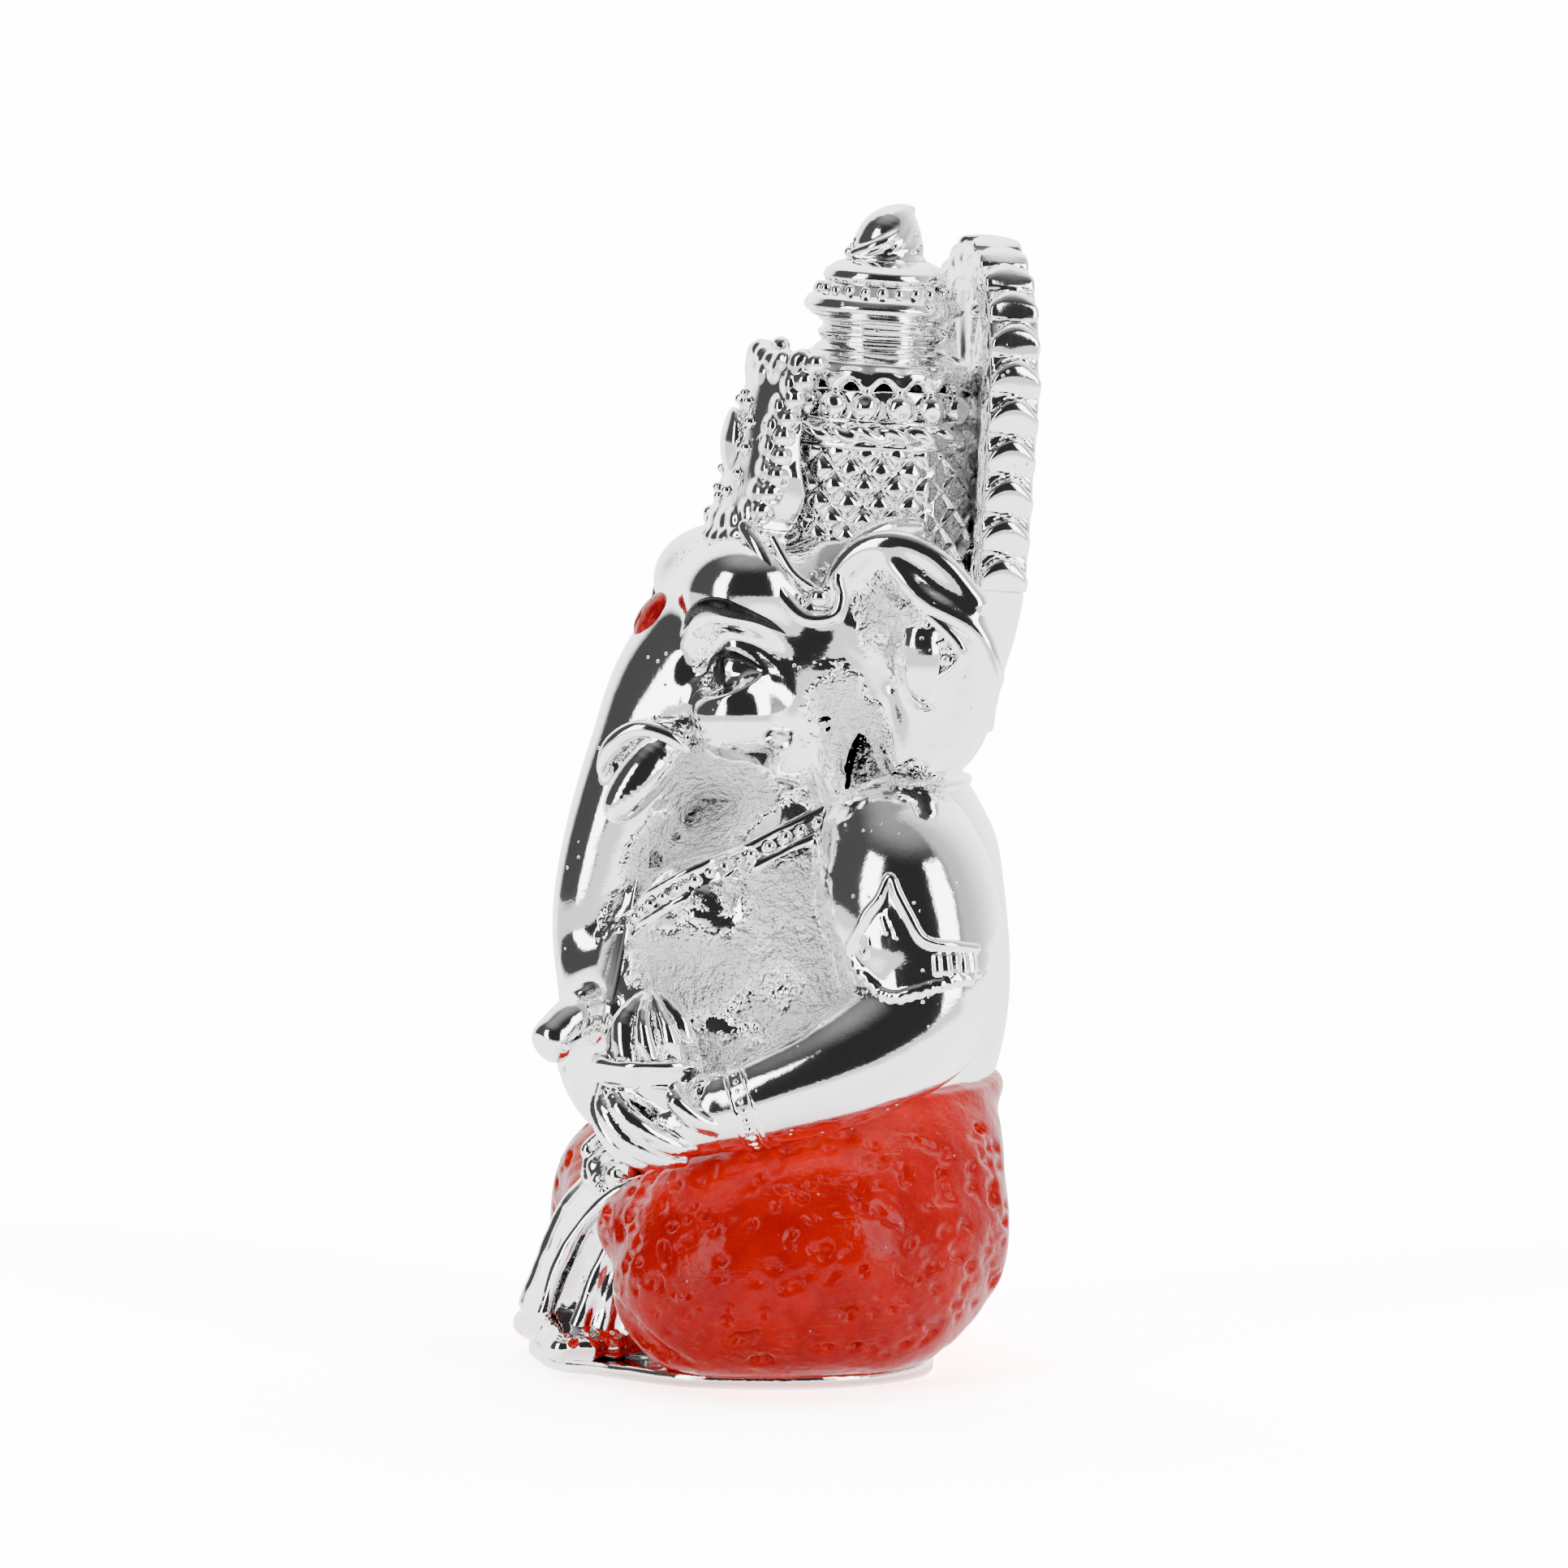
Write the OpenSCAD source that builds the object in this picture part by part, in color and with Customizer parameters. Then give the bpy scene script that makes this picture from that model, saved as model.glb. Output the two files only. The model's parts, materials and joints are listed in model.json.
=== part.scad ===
// Seated elephant-headed idol: silver-plated castings, a red painted wrap, a resin core and a base plate.
// +Z is up, the figure faces -Y, its left hand is on +X, and the origin is on the base face.
// Control rows are in millimetres for a figure 100 mm tall; scaled() takes them to figure_h.

/* [Figure] */
// Height from the base face to the crown tip
figure_h = 100; // [60:5:200]
// Wall of the plated shell around the resin core
shell_t = 1.6; // [1.0:0.1:2.2]

/* [Base] */
// Thickness of the base plate
base_t = 1.0; // [0.6:0.1:1.2]
// Radius of the plug that closes the filling hole
plug_r = 4; // [2.5:0.5:6]

/* [Halo] */
// Half width of the halo arch
halo_half_w = 14.5; // [13:0.5:16]
// Depth of the halo rim, front to back
rim_depth = 4.4; // [3.6:0.2:5]
// Radial width of the halo rim
rim_w = 3.4; // [2.4:0.2:4]
// Rays on each side of the top one
rays_per_side = 11; // [7:1:12]

/* [Crown] */
// Radius of the quilted crown band
crown_r = 9.2; // [8.6:0.1:9.6]
// Round studs in the crown gallery
stud_count = 18; // [10:1:20]
// Radius of one stud
stud_r = 1.15; // [0.8:0.05:1.2]

/* [Sweets] */
// Rim radius of the sweet bowl
bowl_r = 5.4; // [4.8:0.1:5.8]
// Small sweets around the large one
small_sweets = 6; // [3:1:8]

/* [Jewellery] */
// Beads on the necklace
bead_count = 21; // [9:2:25]
// Radius of one bead
bead_r = 0.75; // [0.5:0.05:0.8]

/* [Hidden] */
$fn = 32;

row_steps = 3;                 // rings made from each pair of control rows
body_sides = 24;               // corners of a body ring
limb_sides = 14;               // corners of a limb ring
finger_sides = 6;
trim_sides = 8;                // corners of a thin trim ring
cap_angles = [70, 35];         // latitudes of the rings that round off a limb's end

// Stacked rings: [z, centre y, half width, half depth]
torso_rows = [[16, 2, 12, 10], [18, 1.2, 15, 13.4], [21, 0.6, 17, 16.4], [24, 0.3, 18, 18], [27.5, 0, 18.4, 19],
    [32, 0.2, 18.2, 19.2], [36.5, 1.2, 17.1, 18.4], [41, 2.9, 15.6, 16.8], [45, 4.4, 14, 14.8], [49, 5.4, 11, 12], [53, 5.4, 8.5, 9.5]];
seat_rows = [[base_t, 0, 16, 13], [4, 0.6, 17, 15], [9, 1.2, 18.4, 16.8], [15, 1.8, 19, 17.6],
    [21, 1.8, 19.2, 17.8], [26, 1.4, 18.6, 17.4]];
core_rows = [[base_t, -1, 13, 12], [12, 0.4, 14 - shell_t, 14 - shell_t], [18, 1.2, 15 - shell_t, 13.8 - shell_t],
    [24, 0.3, 17.8 - shell_t, 17.8 - shell_t], [32, 0.2, 18 - shell_t, 19 - shell_t], [41, 2.9, 15.4 - shell_t, 16.6 - shell_t],
    [48, 5, 10.8 - shell_t, 12 - shell_t]];
head_rows = [[48, 3, 6.5, 7.5], [51, 1.6, 9.5, 10.5], [55, 1, 11.2, 12.6], [60, 2, 12, 13.8],
    [65, 3.6, 11.8, 13.4], [69, 5.4, 10.8, 11.6], [72.5, 7, 8.6, 8.8], [74, 8, 5, 5]];

// Paths: [x, y, z, radius]
trunk_rows = [[0, -4, 64, 6.6], [0, -8.2, 59, 6.3], [0, -11.5, 53, 5.4], [0, -14, 47, 4.7], [0, -15.8, 41, 4],
    [0.3, -16.7, 36.5, 3.5], [2.6, -16.8, 33, 3], [6, -17.6, 31.8, 2.5], [9, -19.8, 31.2, 2.2], [10.2, -22, 29.6, 2.1]];
arm_rows = [[13.5, 7.6, 45, 6], [15.5, 8, 42, 7], [17.6, 8.8, 37, 6.6], [19.4, 8, 31.8, 5.9],
    [20.4, 1, 27.6, 5.1], [19.6, -5, 25.2, 4.2], [18.6, -9, 23.9, 3.4]];
raised_arm_rows = [[13.5, 7.6, 45, 6], [15.5, 8, 42, 7], [17.6, 8.4, 37, 6.5], [19.4, 6, 32, 5.4],
    [20.4, 0, 29.2, 4.6], [20, -5, 30, 3.9], [19.2, -8.2, 33.4, 3.2]];
thigh_rows = [[14, -10, 8.5, 8], [15.4, -6.4, 9.4, 9.6], [15.8, -1, 10.2, 10.6], [14.4, 4, 11, 11],
    [11.6, 8, 12.4, 9.8]];
tusk_rows = [[6, -11.2, 54, 2.3], [7, -13, 51.6, 2.2], [7.6, -14.8, 49.4, 1.6]];
full_tusk_rows = [[6.2, -11.4, 54, 2.3], [7.8, -12.8, 51.6, 1.9], [9.4, -13.8, 50, 1.3], [10.8, -14.4, 49.2, 0.7]];
brow_rows = [[4.8, -8.8, 63.4, 0.5], [7, -6.6, 65.8, 0.9], [9.4, -3.6, 65.8, 0.8], [11.2, -1.2, 64, 0.4]];
mark_rows = [[0, -10.4, 63.4, 1.5], [0, -9.6, 65, 1.9], [0, -8.2, 67, 1.4]];
strap_rows = [[4.6, -4, 72.6, 1], [7.8, -3.2, 70, 1.1], [10.6, -0.6, 67.2, 1.4], [12, 1.8, 69.6, 1], [12, 5, 72, 0.9]];
finger_rows = [[[17, -12, 22, 1.5], [14.8, -16.4, 21.6, 1.5], [12.4, -17.6, 24, 1.2], [12, -17.8, 26, 0.9]],
    [[18.4, -12, 22, 1.5], [17.4, -16.8, 21.4, 1.5], [15.4, -18.4, 24, 1.2], [15, -18.6, 26, 0.9]],
    [[19.6, -11, 22.6, 1.5], [20, -15.8, 22, 1.4], [19, -18.2, 24.2, 1.1], [18.4, -18.6, 26, 0.9]]];

// Left half of the necklace, on the torso: [angle from +X, z], from the nape to the middle of the chest
necklace_half = [[78, 51], [42, 50], [10, 48], [-14, 45.8], [-35, 43.4], [-52, 41], [-72, 38.2], [-90, 37]];
necklace_r = 1.2;

seat_tilt = 10;                // rise of the waist band towards the back, in degrees
seat_front_y = -1;
waist_z = 21;
waist_half = [18.4, 18.2];
waist_r = 1;
waist_points = 40;

footprint = [[0, -22], [6.4, -21.8], [10, -19.6], [16.8, -17.4], [20.8, -12.2], [22.2, -3], [21, 5], [15.2, 10.6], [7, 12.6], [0, 12.8]];
plug_y = 6;

sash_rows = [[-11, 17.6, 6], [-13, 17.2, 5.4], [-15.6, 15.8, 5], [-18.6, 13, 5], [-20.8, 9, 5.2], [-22, 5, 5]];  // [y, top z, half width]
toe_r = 1.35;
toe_pitch = 2.4;

halo_y = 13.6;                 // front face of the rim at the foot of the halo
halo_tilt = 4;
halo_foot_z = 55;
halo_waist_z = 68;
halo_foot_half_w = 11;
halo_spring_z = 83.6;          // where the straight sides meet the arch
panel_depth = 2.2;
ray_out = 0.5;                 // how far a ray stands out of the rim

crown_base = [0, 8.2, 72];
crown_lean = 3.4;
plaque_r = [14.4, 11.2];       // outer radius at the foot and at the top
plaque_t = 1.4;
plaque_h = 16;
plaque_half_w = 7.9;

ear_root = [10.8, 3.2, 0];
ear_turn = 60;                 // how far the flap stands off the front plane
ear_t = 3;
ear_outline = [[-0.5, 60], [0.4, 66], [2.5, 70.8], [6, 72.4], [10, 70.6], [13, 66.6], [14.4, 61.6], [13.6, 57], [11.4, 53.2],
    [8.2, 51.2], [5, 50.2], [2.6, 49.4], [0.6, 51.4], [-0.4, 55.4]];

bowl_at = [15.6, -14.2, 24.6];
bowl_h = 4.2;
bowl_wall = 0.8;

k = figure_h / 100;

// ---- curves and swept forms ----

function unit(v) = v / norm(v);
function xyz(row) = [row[0], row[1], row[2]];
function spline(a, b, c, d, t) =
    0.5 * (2 * b + (c - a) * t + (2 * a - 5 * b + 4 * c - d) * t * t + (3 * b - a - 3 * c + d) * t * t * t);
// Rows on a smooth curve through the control rows
function smooth(rows, steps = row_steps) = let (last = len(rows) - 1) [
    for (i = [0:last - 1]) for (s = [0:steps - 1])
        spline(rows[max(i - 1, 0)], rows[i], rows[i + 1], rows[min(i + 2, last)], s / steps),
    rows[last]
];
function closed(points, steps) = let (n = len(points)) [
    for (i = [0:n - 1]) for (s = [0:steps - 1])
        spline(points[(i + n - 1) % n], points[i], points[(i + 1) % n], points[(i + 2) % n], s / steps)
];
function both_sides(half) = concat(half, [for (i = [len(half) - 2:-1:1]) [-half[i][0], half[i][1]]]);
function heading(rows, i) = unit(xyz(rows[min(i + 1, len(rows) - 1)]) - xyz(rows[max(i - 1, 0)]));
function ring(centre, along, up, r, sides) = let (n = unit(cross(up, along)), b = cross(along, n))
    [for (j = [0:sides - 1]) centre + r * (cos(360 * j / sides) * n + sin(360 * j / sides) * b)];
function row_at(rows, z) = [for (c = [0:3]) lookup(z, [for (r = rows) [r[0], r[c]]])];
// A point on the torso's skin, at an angle from +X seen from above
function on_torso(a, z) = let (r = row_at(smooth(torso_rows), z)) [r[2] * cos(a), r[1] + r[3] * sin(a), z];
function cap(row, along, out, angle) =
    [row[0], row[1], row[2], 0] + out * row[3] * sin(angle) * [along[0], along[1], along[2], 0] + [0, 0, 0, row[3] * cos(angle)];
// A path with rounded ends: rings close down over each end
function rounded(rows) = let (last = len(rows) - 1, first_along = heading(rows, 0), last_along = heading(rows, last)) concat(
    [for (a = cap_angles) cap(rows[0], first_along, -1, a)], rows,
    [for (i = [len(cap_angles) - 1:-1:0]) cap(rows[last], last_along, 1, cap_angles[i])]);

module skin(rings) {
    n = len(rings[0]);
    last = len(rings) - 1;
    sides = [for (i = [0:last - 1]) for (j = [0:n - 1]) for (half = [0, 1])
        half == 0 ? [i * n + j, (i + 1) * n + j, i * n + (j + 1) % n]
            : [(i + 1) * n + j, (i + 1) * n + (j + 1) % n, i * n + (j + 1) % n]];
    polyhedron(
        points = [for (r = rings) each r],
        faces = concat([[for (j = [0:n - 1]) j]], sides, [[for (j = [n - 1:-1:0]) last * n + j]]));
}

module stack(rows, grow = 0) {
    skin([for (r = smooth(rows)) [for (j = [0:body_sides - 1])
        [(r[2] + grow) * cos(360 * j / body_sides), r[1] + (r[3] + grow) * sin(360 * j / body_sides), r[0]]]]);
}

module limb_on(rows, sides, up) {
    path = rounded(rows);
    skin([for (i = [0:len(path) - 1]) ring(xyz(path[i]), heading(path, i), up, path[i][3], sides)]);
}

module limb(rows, sides = limb_sides, up = [0, 1, 0], grow = 0) {
    limb_on([for (r = smooth(rows)) [r[0], r[1], r[2], r[3] + grow]], sides, up);
}

// A resize to nothing keeps the size, and makes the carved form one mesh
module carved() {
    resize([0, 0, 0]) difference() {
        children(0);
        if ($children > 1) children([1:$children - 1]);
    }
}

module scaled() { scale(k) children(); }
module right_side() { mirror([1, 0, 0]) children(); }
module on_crown() { translate(crown_base) rotate([-crown_lean, 0, 0]) children(); }
module on_halo() { translate([0, halo_y, halo_foot_z]) rotate([-halo_tilt, 0, 0]) translate([0, 0, -halo_foot_z]) children(); }
// Everything behind the front face of the halo, where the castings in front of it end
module behind_halo_face() { on_halo() translate([-30, 0, 40]) cube([60, 20, 80]); }
module below_base() { translate([-40, -40, base_t - 40]) cube([80, 80, 40]); }
module above_waist() { translate([0, 0, waist_z - 0.4]) rotate([seat_tilt, 0, 0]) translate([-40, -40, 0]) cube([80, 80, 80]); }

// ---- forms that several castings meet ----

module torso_form() { stack(torso_rows); }
module core_form() { stack(core_rows); }
module head_form(grow = 0) { stack(head_rows, grow); }
module thigh_form() { limb(thigh_rows, up = [0, 0, 1]); }
module arm_form(grow = 0) { limb(arm_rows, grow = grow); }
module raised_arm_form(grow = 0) { limb(raised_arm_rows, grow = grow); }
module crown_form() { on_crown() translate([0, 0, -3]) cylinder(r = crown_r + 0.3, h = 14, $fn = body_sides); }
module halo_outline(inset = 0) {
    half = halo_half_w - inset;
    side = [[halo_foot_half_w - inset, halo_foot_z + inset], [half, halo_waist_z], [half, halo_spring_z]];
    arch = [for (a = [0:9:180]) [half * cos(a), halo_spring_z + half * sin(a)]];
    polygon(concat([side[0], side[1]], arch, [[-side[1][0], side[1][1]], [-side[0][0], side[0][1]]]));
}

// ---- base and core ----

module base_plate() {
    color("silver") scaled() difference() {
        linear_extrude(base_t) polygon(closed(both_sides(footprint), 3));
        translate([0, plug_y, -1]) cylinder(r = plug_r, h = base_t + 2);
    }
}

module fill_plug() {
    color("silver") scaled() translate([0, plug_y, 0]) cylinder(r = plug_r, h = base_t);
}

module resin_core() {
    color("beige") scaled() core_form();
}

// ---- body castings ----

module torso_shell() {
    color("silver") scaled() carved() {
        torso_form();
        core_form();
    }
}

module thigh() {
    scaled() carved() {
        thigh_form();
        torso_form();
        core_form();
        hull() waist_form();
        sash_form();
        below_base();
        above_waist();
    }
}
module left_thigh() { color("firebrick") thigh(); }
module right_thigh() { color("firebrick") right_side() thigh(); }

module dhoti_seat() {
    color("firebrick") scaled() carved() {
        stack(seat_rows);
        translate([-40, seat_front_y - 80, -1]) cube([80, 80, 80]);
        above_waist();
        core_form();
        torso_form();
        thigh_form();
        right_side() thigh_form();
        hull() waist_form();
    }
}

module waist_form() {
    path = [for (i = [0:waist_points]) let (a = 360 * i / waist_points)
        [waist_half[0] * cos(a), waist_half[1] * sin(a), waist_z + waist_half[1] * sin(a) * tan(seat_tilt)]];
    rings = [for (i = [0:waist_points - 1])
        ring(path[i], unit(path[i + 1] - path[(i + waist_points - 1) % waist_points]), [0, 0, 1], waist_r, trim_sides)];
    n = trim_sides;
    polyhedron(points = [for (r = rings) each r],
        faces = [for (i = [0:waist_points - 1]) for (j = [0:n - 1]) let (i2 = (i + 1) % waist_points, j2 = (j + 1) % n) for (half = [0, 1])
            half == 0 ? [i * n + j, i2 * n + j, i * n + j2] : [i2 * n + j, i2 * n + j2, i * n + j2]]);
}

module waist_band() {
    color("firebrick") scaled() carved() {
        waist_form();
        torso_form();
    }
}

module sash_form() {
    skin([for (r = smooth(sash_rows, 3)) [
        [-r[2], r[0], base_t], [r[2], r[0], base_t], [r[2], r[0], r[1] * 0.45], [r[2] * 0.3, r[0], r[1]], [-r[2] * 0.3, r[0], r[1]], [-r[2], r[0], r[1] * 0.45]
    ]]);
}

module front_sash() {
    color("silver") scaled() carved() {
        sash_form();
        torso_form();
        core_form();
        foot_form();
        right_side() foot_form();
    }
}

module sash_knot_form() { translate([0, -14.4, 17]) scale([1.5, 1, 0.9]) sphere(2.6, $fn = 16); }

module sash_knot() {
    color("silver") scaled() carved() {
        sash_knot_form();
        torso_form();
        sash_form();
        thigh_form();
        right_side() thigh_form();
    }
}

module foot_form() {
    for (toe = [0:4]) hull() {
        translate([9.2 - 0.25 * toe * toe, -20.8 + toe_pitch * toe, base_t + toe_r]) sphere(toe_r, $fn = 10);
        translate([2, -19.2 + 1.6 * toe, base_t + 2.6]) sphere(2.4, $fn = 10);
    }
}
module foot() {
    scaled() carved() {
        foot_form();
        thigh_form();
        translate([-20, -40, 0]) cube([20, 80, 20]);
        below_base();
    }
}
module left_foot() { color("silver") right_side() foot(); }
module right_foot() { color("silver") foot(); }

// ---- arms, hands and what they hold ----

module left_arm() {
    color("silver") scaled() carved() {
        arm_form();
        torso_form();
        necklace_form();
        thigh_form();
    }
}

module right_arm() {
    color("silver") scaled() carved() {
        right_side() raised_arm_form();
        torso_form();
        necklace_form();
        right_side() thigh_form();
    }
}

module armlet(rows) {
    cuff = [for (r = rows) [r[0], r[1], r[2], r[3] + 0.7]];
    scaled() resize([0, 0, 0]) difference() {
        skin([for (i = [0:len(cuff) - 1]) ring(xyz(cuff[i]), heading(cuff, i), [0, 1, 0], cuff[i][3], limb_sides)]);
        arm_form();
        torso_form();
    }
}
armlet_span = [for (i = [5:9]) smooth(arm_rows)[i]];
module left_armlet() { color("silver") armlet(armlet_span); }
module right_armlet() { color("silver") right_side() armlet(armlet_span); }

// Two rings around the arm, just before the wrist
module bangles(rows) {
    path = smooth(rows);
    n = len(path);
    for (i = [n - 3:n - 2]) translate(xyz(path[i])) look_along(heading(path, i))
        rotate_extrude() translate([path[i][3] + 0.35, 0]) circle(0.45);
}
module look_along(d) { rotate([0, acos(d[2]), atan2(d[1], d[0])]) children(); }
module left_bangles() { color("silver") scaled() bangles(arm_rows); }
module right_bangles() { color("silver") scaled() right_side() bangles(raised_arm_rows); }

module left_hand() {
    color("silver") scaled() carved() {
        union() {
            hull() {
                translate([18.6, -9.6, 23.4]) sphere(3);
                translate([16, -14, 22.2]) scale([1.5, 1.5, 0.7]) sphere(3);
            }
            for (f = finger_rows) limb(f, finger_sides, [1, 0, 0]);
        }
        arm_form();
        translate(bowl_at) cylinder(r1 = 3.2, r2 = bowl_r, h = bowl_h);
        torso_form();
        thigh_form();
    }
}

module right_hand() {
    palm = [-19, -9.6, 37];
    color("silver") scaled() carved() {
        union() {
            hull() {
                translate(palm + [0, 0.6, -3]) sphere(2.6);
                translate(palm + [0, -0.6, 1.6]) scale([1.3, 0.6, 1]) sphere(2.8);
            }
            for (f = [-1.5:1:1.5]) translate(palm) limb([[f * 1.7, -0.4, 2, 1.1], [f * 1.9, -0.8, 5, 1], [f * 2, -0.6, 8 - abs(f), 0.8]], finger_sides);
            translate(palm) limb([[2.6, -0.4, -1, 1.2], [4.4, -1.2, 1.4, 1.1], [4.8, -1.4, 3.6, 0.8]], finger_sides);
        }
        right_side() raised_arm_form();
        torso_form();
    }
}

module sweet_bowl() {
    color("silver") scaled() translate(bowl_at) difference() {
        cylinder(r1 = 3.2, r2 = bowl_r, h = bowl_h);
        translate([0, 0, bowl_wall]) cylinder(r1 = 3.2 - bowl_wall, r2 = bowl_r - bowl_wall + 0.2, h = bowl_h);
    }
}

// A mound fills the bowl, a large sweet stands on it and small ones ring it
module sweets() {
    color("silver") scaled() translate(bowl_at) {
        rotate_extrude() polygon([[0, bowl_wall + 0.05], [2.3, bowl_wall + 0.05], [3.1, 2.6], [3.7, 3.6], [3.4, 5.6], [2.6, 7.6], [1.2, 9.2], [0, 9.8]]);
        for (i = [0:small_sweets - 1]) rotate([0, 0, 360 * i / small_sweets]) translate([4.15, 0, 4.7]) sphere(1);
    }
}

// ---- head ----

module head() {
    color("silver") scaled() carved() {
        head_form();
        torso_form();
        crown_form();
        behind_halo_face();
    }
}

module trunk() {
    color("silver") scaled() carved() {
        limb(trunk_rows);
        head_form();
        torso_form();
        necklace_form();
        translate(bowl_at) cylinder(r = bowl_r + 0.2, h = 10);
    }
}

module ear_flap() {
    translate(ear_root) rotate([0, 0, ear_turn]) rotate([90, 0, 0])
        linear_extrude(ear_t, center = true) polygon(closed(ear_outline, 3));
}
module ear() {
    scaled() resize([0, 0, 0]) difference() {
        ear_flap();
        head_form();
        torso_form();
        necklace_form();
        arm_form();
        crown_form();
        behind_halo_face();
    }
}
module left_ear() { color("silver") ear(); }
module right_ear() { color("silver") right_side() ear(); }

module ear_ornament() {
    translate(ear_root) rotate([0, 0, ear_turn]) translate([9.4, -ear_t / 2, 62.6]) rotate([90, 0, 0]) {
        cylinder(r = 2, h = 0.8);
        for (i = [0:5]) rotate([0, 0, 60 * i]) translate([2.7, 0, 0]) cylinder(r = 0.6, h = 0.6);
    }
}
module left_ear_ornament() { color("silver") scaled() ear_ornament(); }
module right_ear_ornament() { color("silver") scaled() right_side() ear_ornament(); }

module tusk(rows) {
    scaled() resize([0, 0, 0]) difference() {
        limb(rows, 14);
        head_form();
        limb(trunk_rows);
    }
}
module left_tusk() { color("silver") tusk(tusk_rows); }
module right_tusk() { color("silver") right_side() tusk(full_tusk_rows); }

module eye() {
    scaled() resize([0, 0, 0]) difference() {
        intersection() {
            head_form(0.4);
            translate([9.8, -6.8, 61.4]) scale([1, 1.1, 0.62]) sphere(2.4);
        }
        head_form();
    }
}
module left_eye() { color("black") eye(); }
module right_eye() { color("black") right_side() eye(); }

module eyebrow() {
    scaled() resize([0, 0, 0]) difference() {
        intersection() {
            head_form(0.35);
            limb(brow_rows, trim_sides);
        }
        head_form();
    }
}
module left_eyebrow() { color("black") eyebrow(); }
module right_eyebrow() { color("black") right_side() eyebrow(); }

module forehead_mark() {
    color("red") scaled() resize([0, 0, 0]) difference() {
        limb(mark_rows, trim_sides);
        head_form();
        limb(trunk_rows);
    }
}

// ---- necklace ----

necklace_side = [for (r = smooth(necklace_half)) concat(on_torso(r[0], r[1]), necklace_r)];
necklace_path = concat([for (r = necklace_side) [-r[0], r[1], r[2], r[3]]],
    [for (i = [len(necklace_side) - 2:-1:0]) necklace_side[i]]);
module necklace_form() { limb_on(necklace_path, trim_sides, [0, 0, 1]); }

module necklace() {
    color("silver") scaled() carved() {
        necklace_form();
        torso_form();
        head_form();
    }
}

module necklace_beads() {
    first = 5;
    last = len(necklace_path) - 1 - first;
    color("silver") scaled() carved() {
        union() for (i = [0:bead_count - 1]) let (at = necklace_path[round(first + i * (last - first) / (bead_count - 1))])
            translate(xyz(at) + necklace_r * unit([at[0], at[1] - 4, 4])) sphere(bead_r, $fn = 6);
        necklace_form();
    }
}

// ---- crown ----

module temple_strap() {
    scaled() resize([0, 0, 0]) difference() {
        limb(strap_rows, trim_sides);
        head_form();
        crown_form();
        plaque_form();
        ear_flap();
    }
}
module left_temple_strap() { color("silver") temple_strap(); }
module right_temple_strap() { color("silver") right_side() temple_strap(); }

module crown_tier(profile) {
    color("silver") scaled() difference() {
        on_crown() rotate_extrude() polygon(profile);
        behind_halo_face();
    }
}

module crown_band() {
    crown_tier([[0, -2.8], [crown_r - 0.6, -2.8], [crown_r, -1], [crown_r + 0.2, 2], [crown_r, 5], [crown_r - 0.5, 8], [0, 8]]);
}
module crown_rope() { crown_tier([[0, 8], [crown_r - 0.4, 8], [crown_r + 0.1, 9], [crown_r - 0.4, 10], [0, 10]]); }
module crown_gallery() { crown_tier([[0, 10], [crown_r - 1, 10], [crown_r - 1, 12.9], [0, 12.9]]); }
module crown_brim() {
    crown_tier([[0, 12.9], [crown_r - 1, 12.9], [crown_r - 0.3, 13.4], [crown_r - 0.9, 14.8], [6.2, 15.9], [0, 15.9]]);
}
module crown_drum() { crown_tier([[0, 15.9], [5.8, 15.9], [5.6, 17.2], [5.8, 17.5], [5.6, 19], [0, 19]]); }
module crown_ring() { crown_tier([[0, 19], [6.3, 19], [6.7, 19.6], [6, 20.8], [5, 21.8], [0, 21.8]]); }
module crown_cap() { crown_tier([[0, 21.8], [4.9, 21.8], [5.2, 22.5], [4.6, 23.4], [3.4, 23.7], [0, 23.7]]); }
module crown_finial() {
    crown_tier([[0, 23.7], [3.3, 23.7], [3.5, 24.2], [3.1, 25.6], [2.2, 26.9], [1.1, 27.7], [0, 28]]);
}

module crown_studs() {
    color("silver") scaled() carved() {
        on_crown() for (i = [0:stud_count - 1]) rotate([0, 0, 360 * i / stud_count])
            translate([crown_r - 0.9, 0, 11.45]) sphere(stud_r, $fn = 8);
        on_crown() cylinder(r = crown_r - 1, h = 13);
        behind_halo_face();
        plaque_form();
    }
}

module crown_beads() {
    beads = 20;
    color("silver") scaled() difference() {
        on_crown() for (i = [0:beads - 1]) rotate([0, 0, 360 * i / beads]) translate([5.9, 0, 21.2]) rotate([0, 0, 180]) sphere(0.6);
        on_crown() rotate_extrude() polygon([[0, 19], [6.3, 19], [6.7, 19.6], [6, 20.8], [5, 21.8], [0, 21.8]]);
        behind_halo_face();
    }
}

// Leaf-shaped front plate: a conical wall around the band, thick at the foot, cut to a pointed outline
module plaque_form() {
    foot = -0.6;
    leaf = both_sides([[0, foot], [3.4, foot - 0.4], [6.6, foot + 1], [plaque_half_w, 5], [7.5, 10], [8, 13.6], [7.4, 15.4], [4, 14.8], [0, foot + plaque_h]]);
    intersection() {
        on_crown() difference() {
            translate([0, 0, -2]) cylinder(r1 = plaque_r[0], r2 = plaque_r[1], h = plaque_h + 3);
            translate([0, 0, -3]) cylinder(r = plaque_r[1] - plaque_t, h = plaque_h + 5);
        }
        translate([0, 1, crown_base[2]]) rotate([90, 0, 0]) linear_extrude(20) polygon(closed(leaf, 2));
    }
}
module crown_plaque() { color("silver") scaled() plaque_form(); }

// ---- halo ----

module halo_plate() {
    color("silver") scaled() on_halo() translate([0, (rim_depth + panel_depth) / 2, 0]) rotate([90, 0, 0])
        linear_extrude(panel_depth) halo_outline(rim_w);
}

module halo_rim() {
    color("silver") scaled() on_halo() translate([0, rim_depth, 0]) rotate([90, 0, 0])
        linear_extrude(rim_depth) difference() {
            halo_outline();
            halo_outline(rim_w);
        }
}

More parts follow.
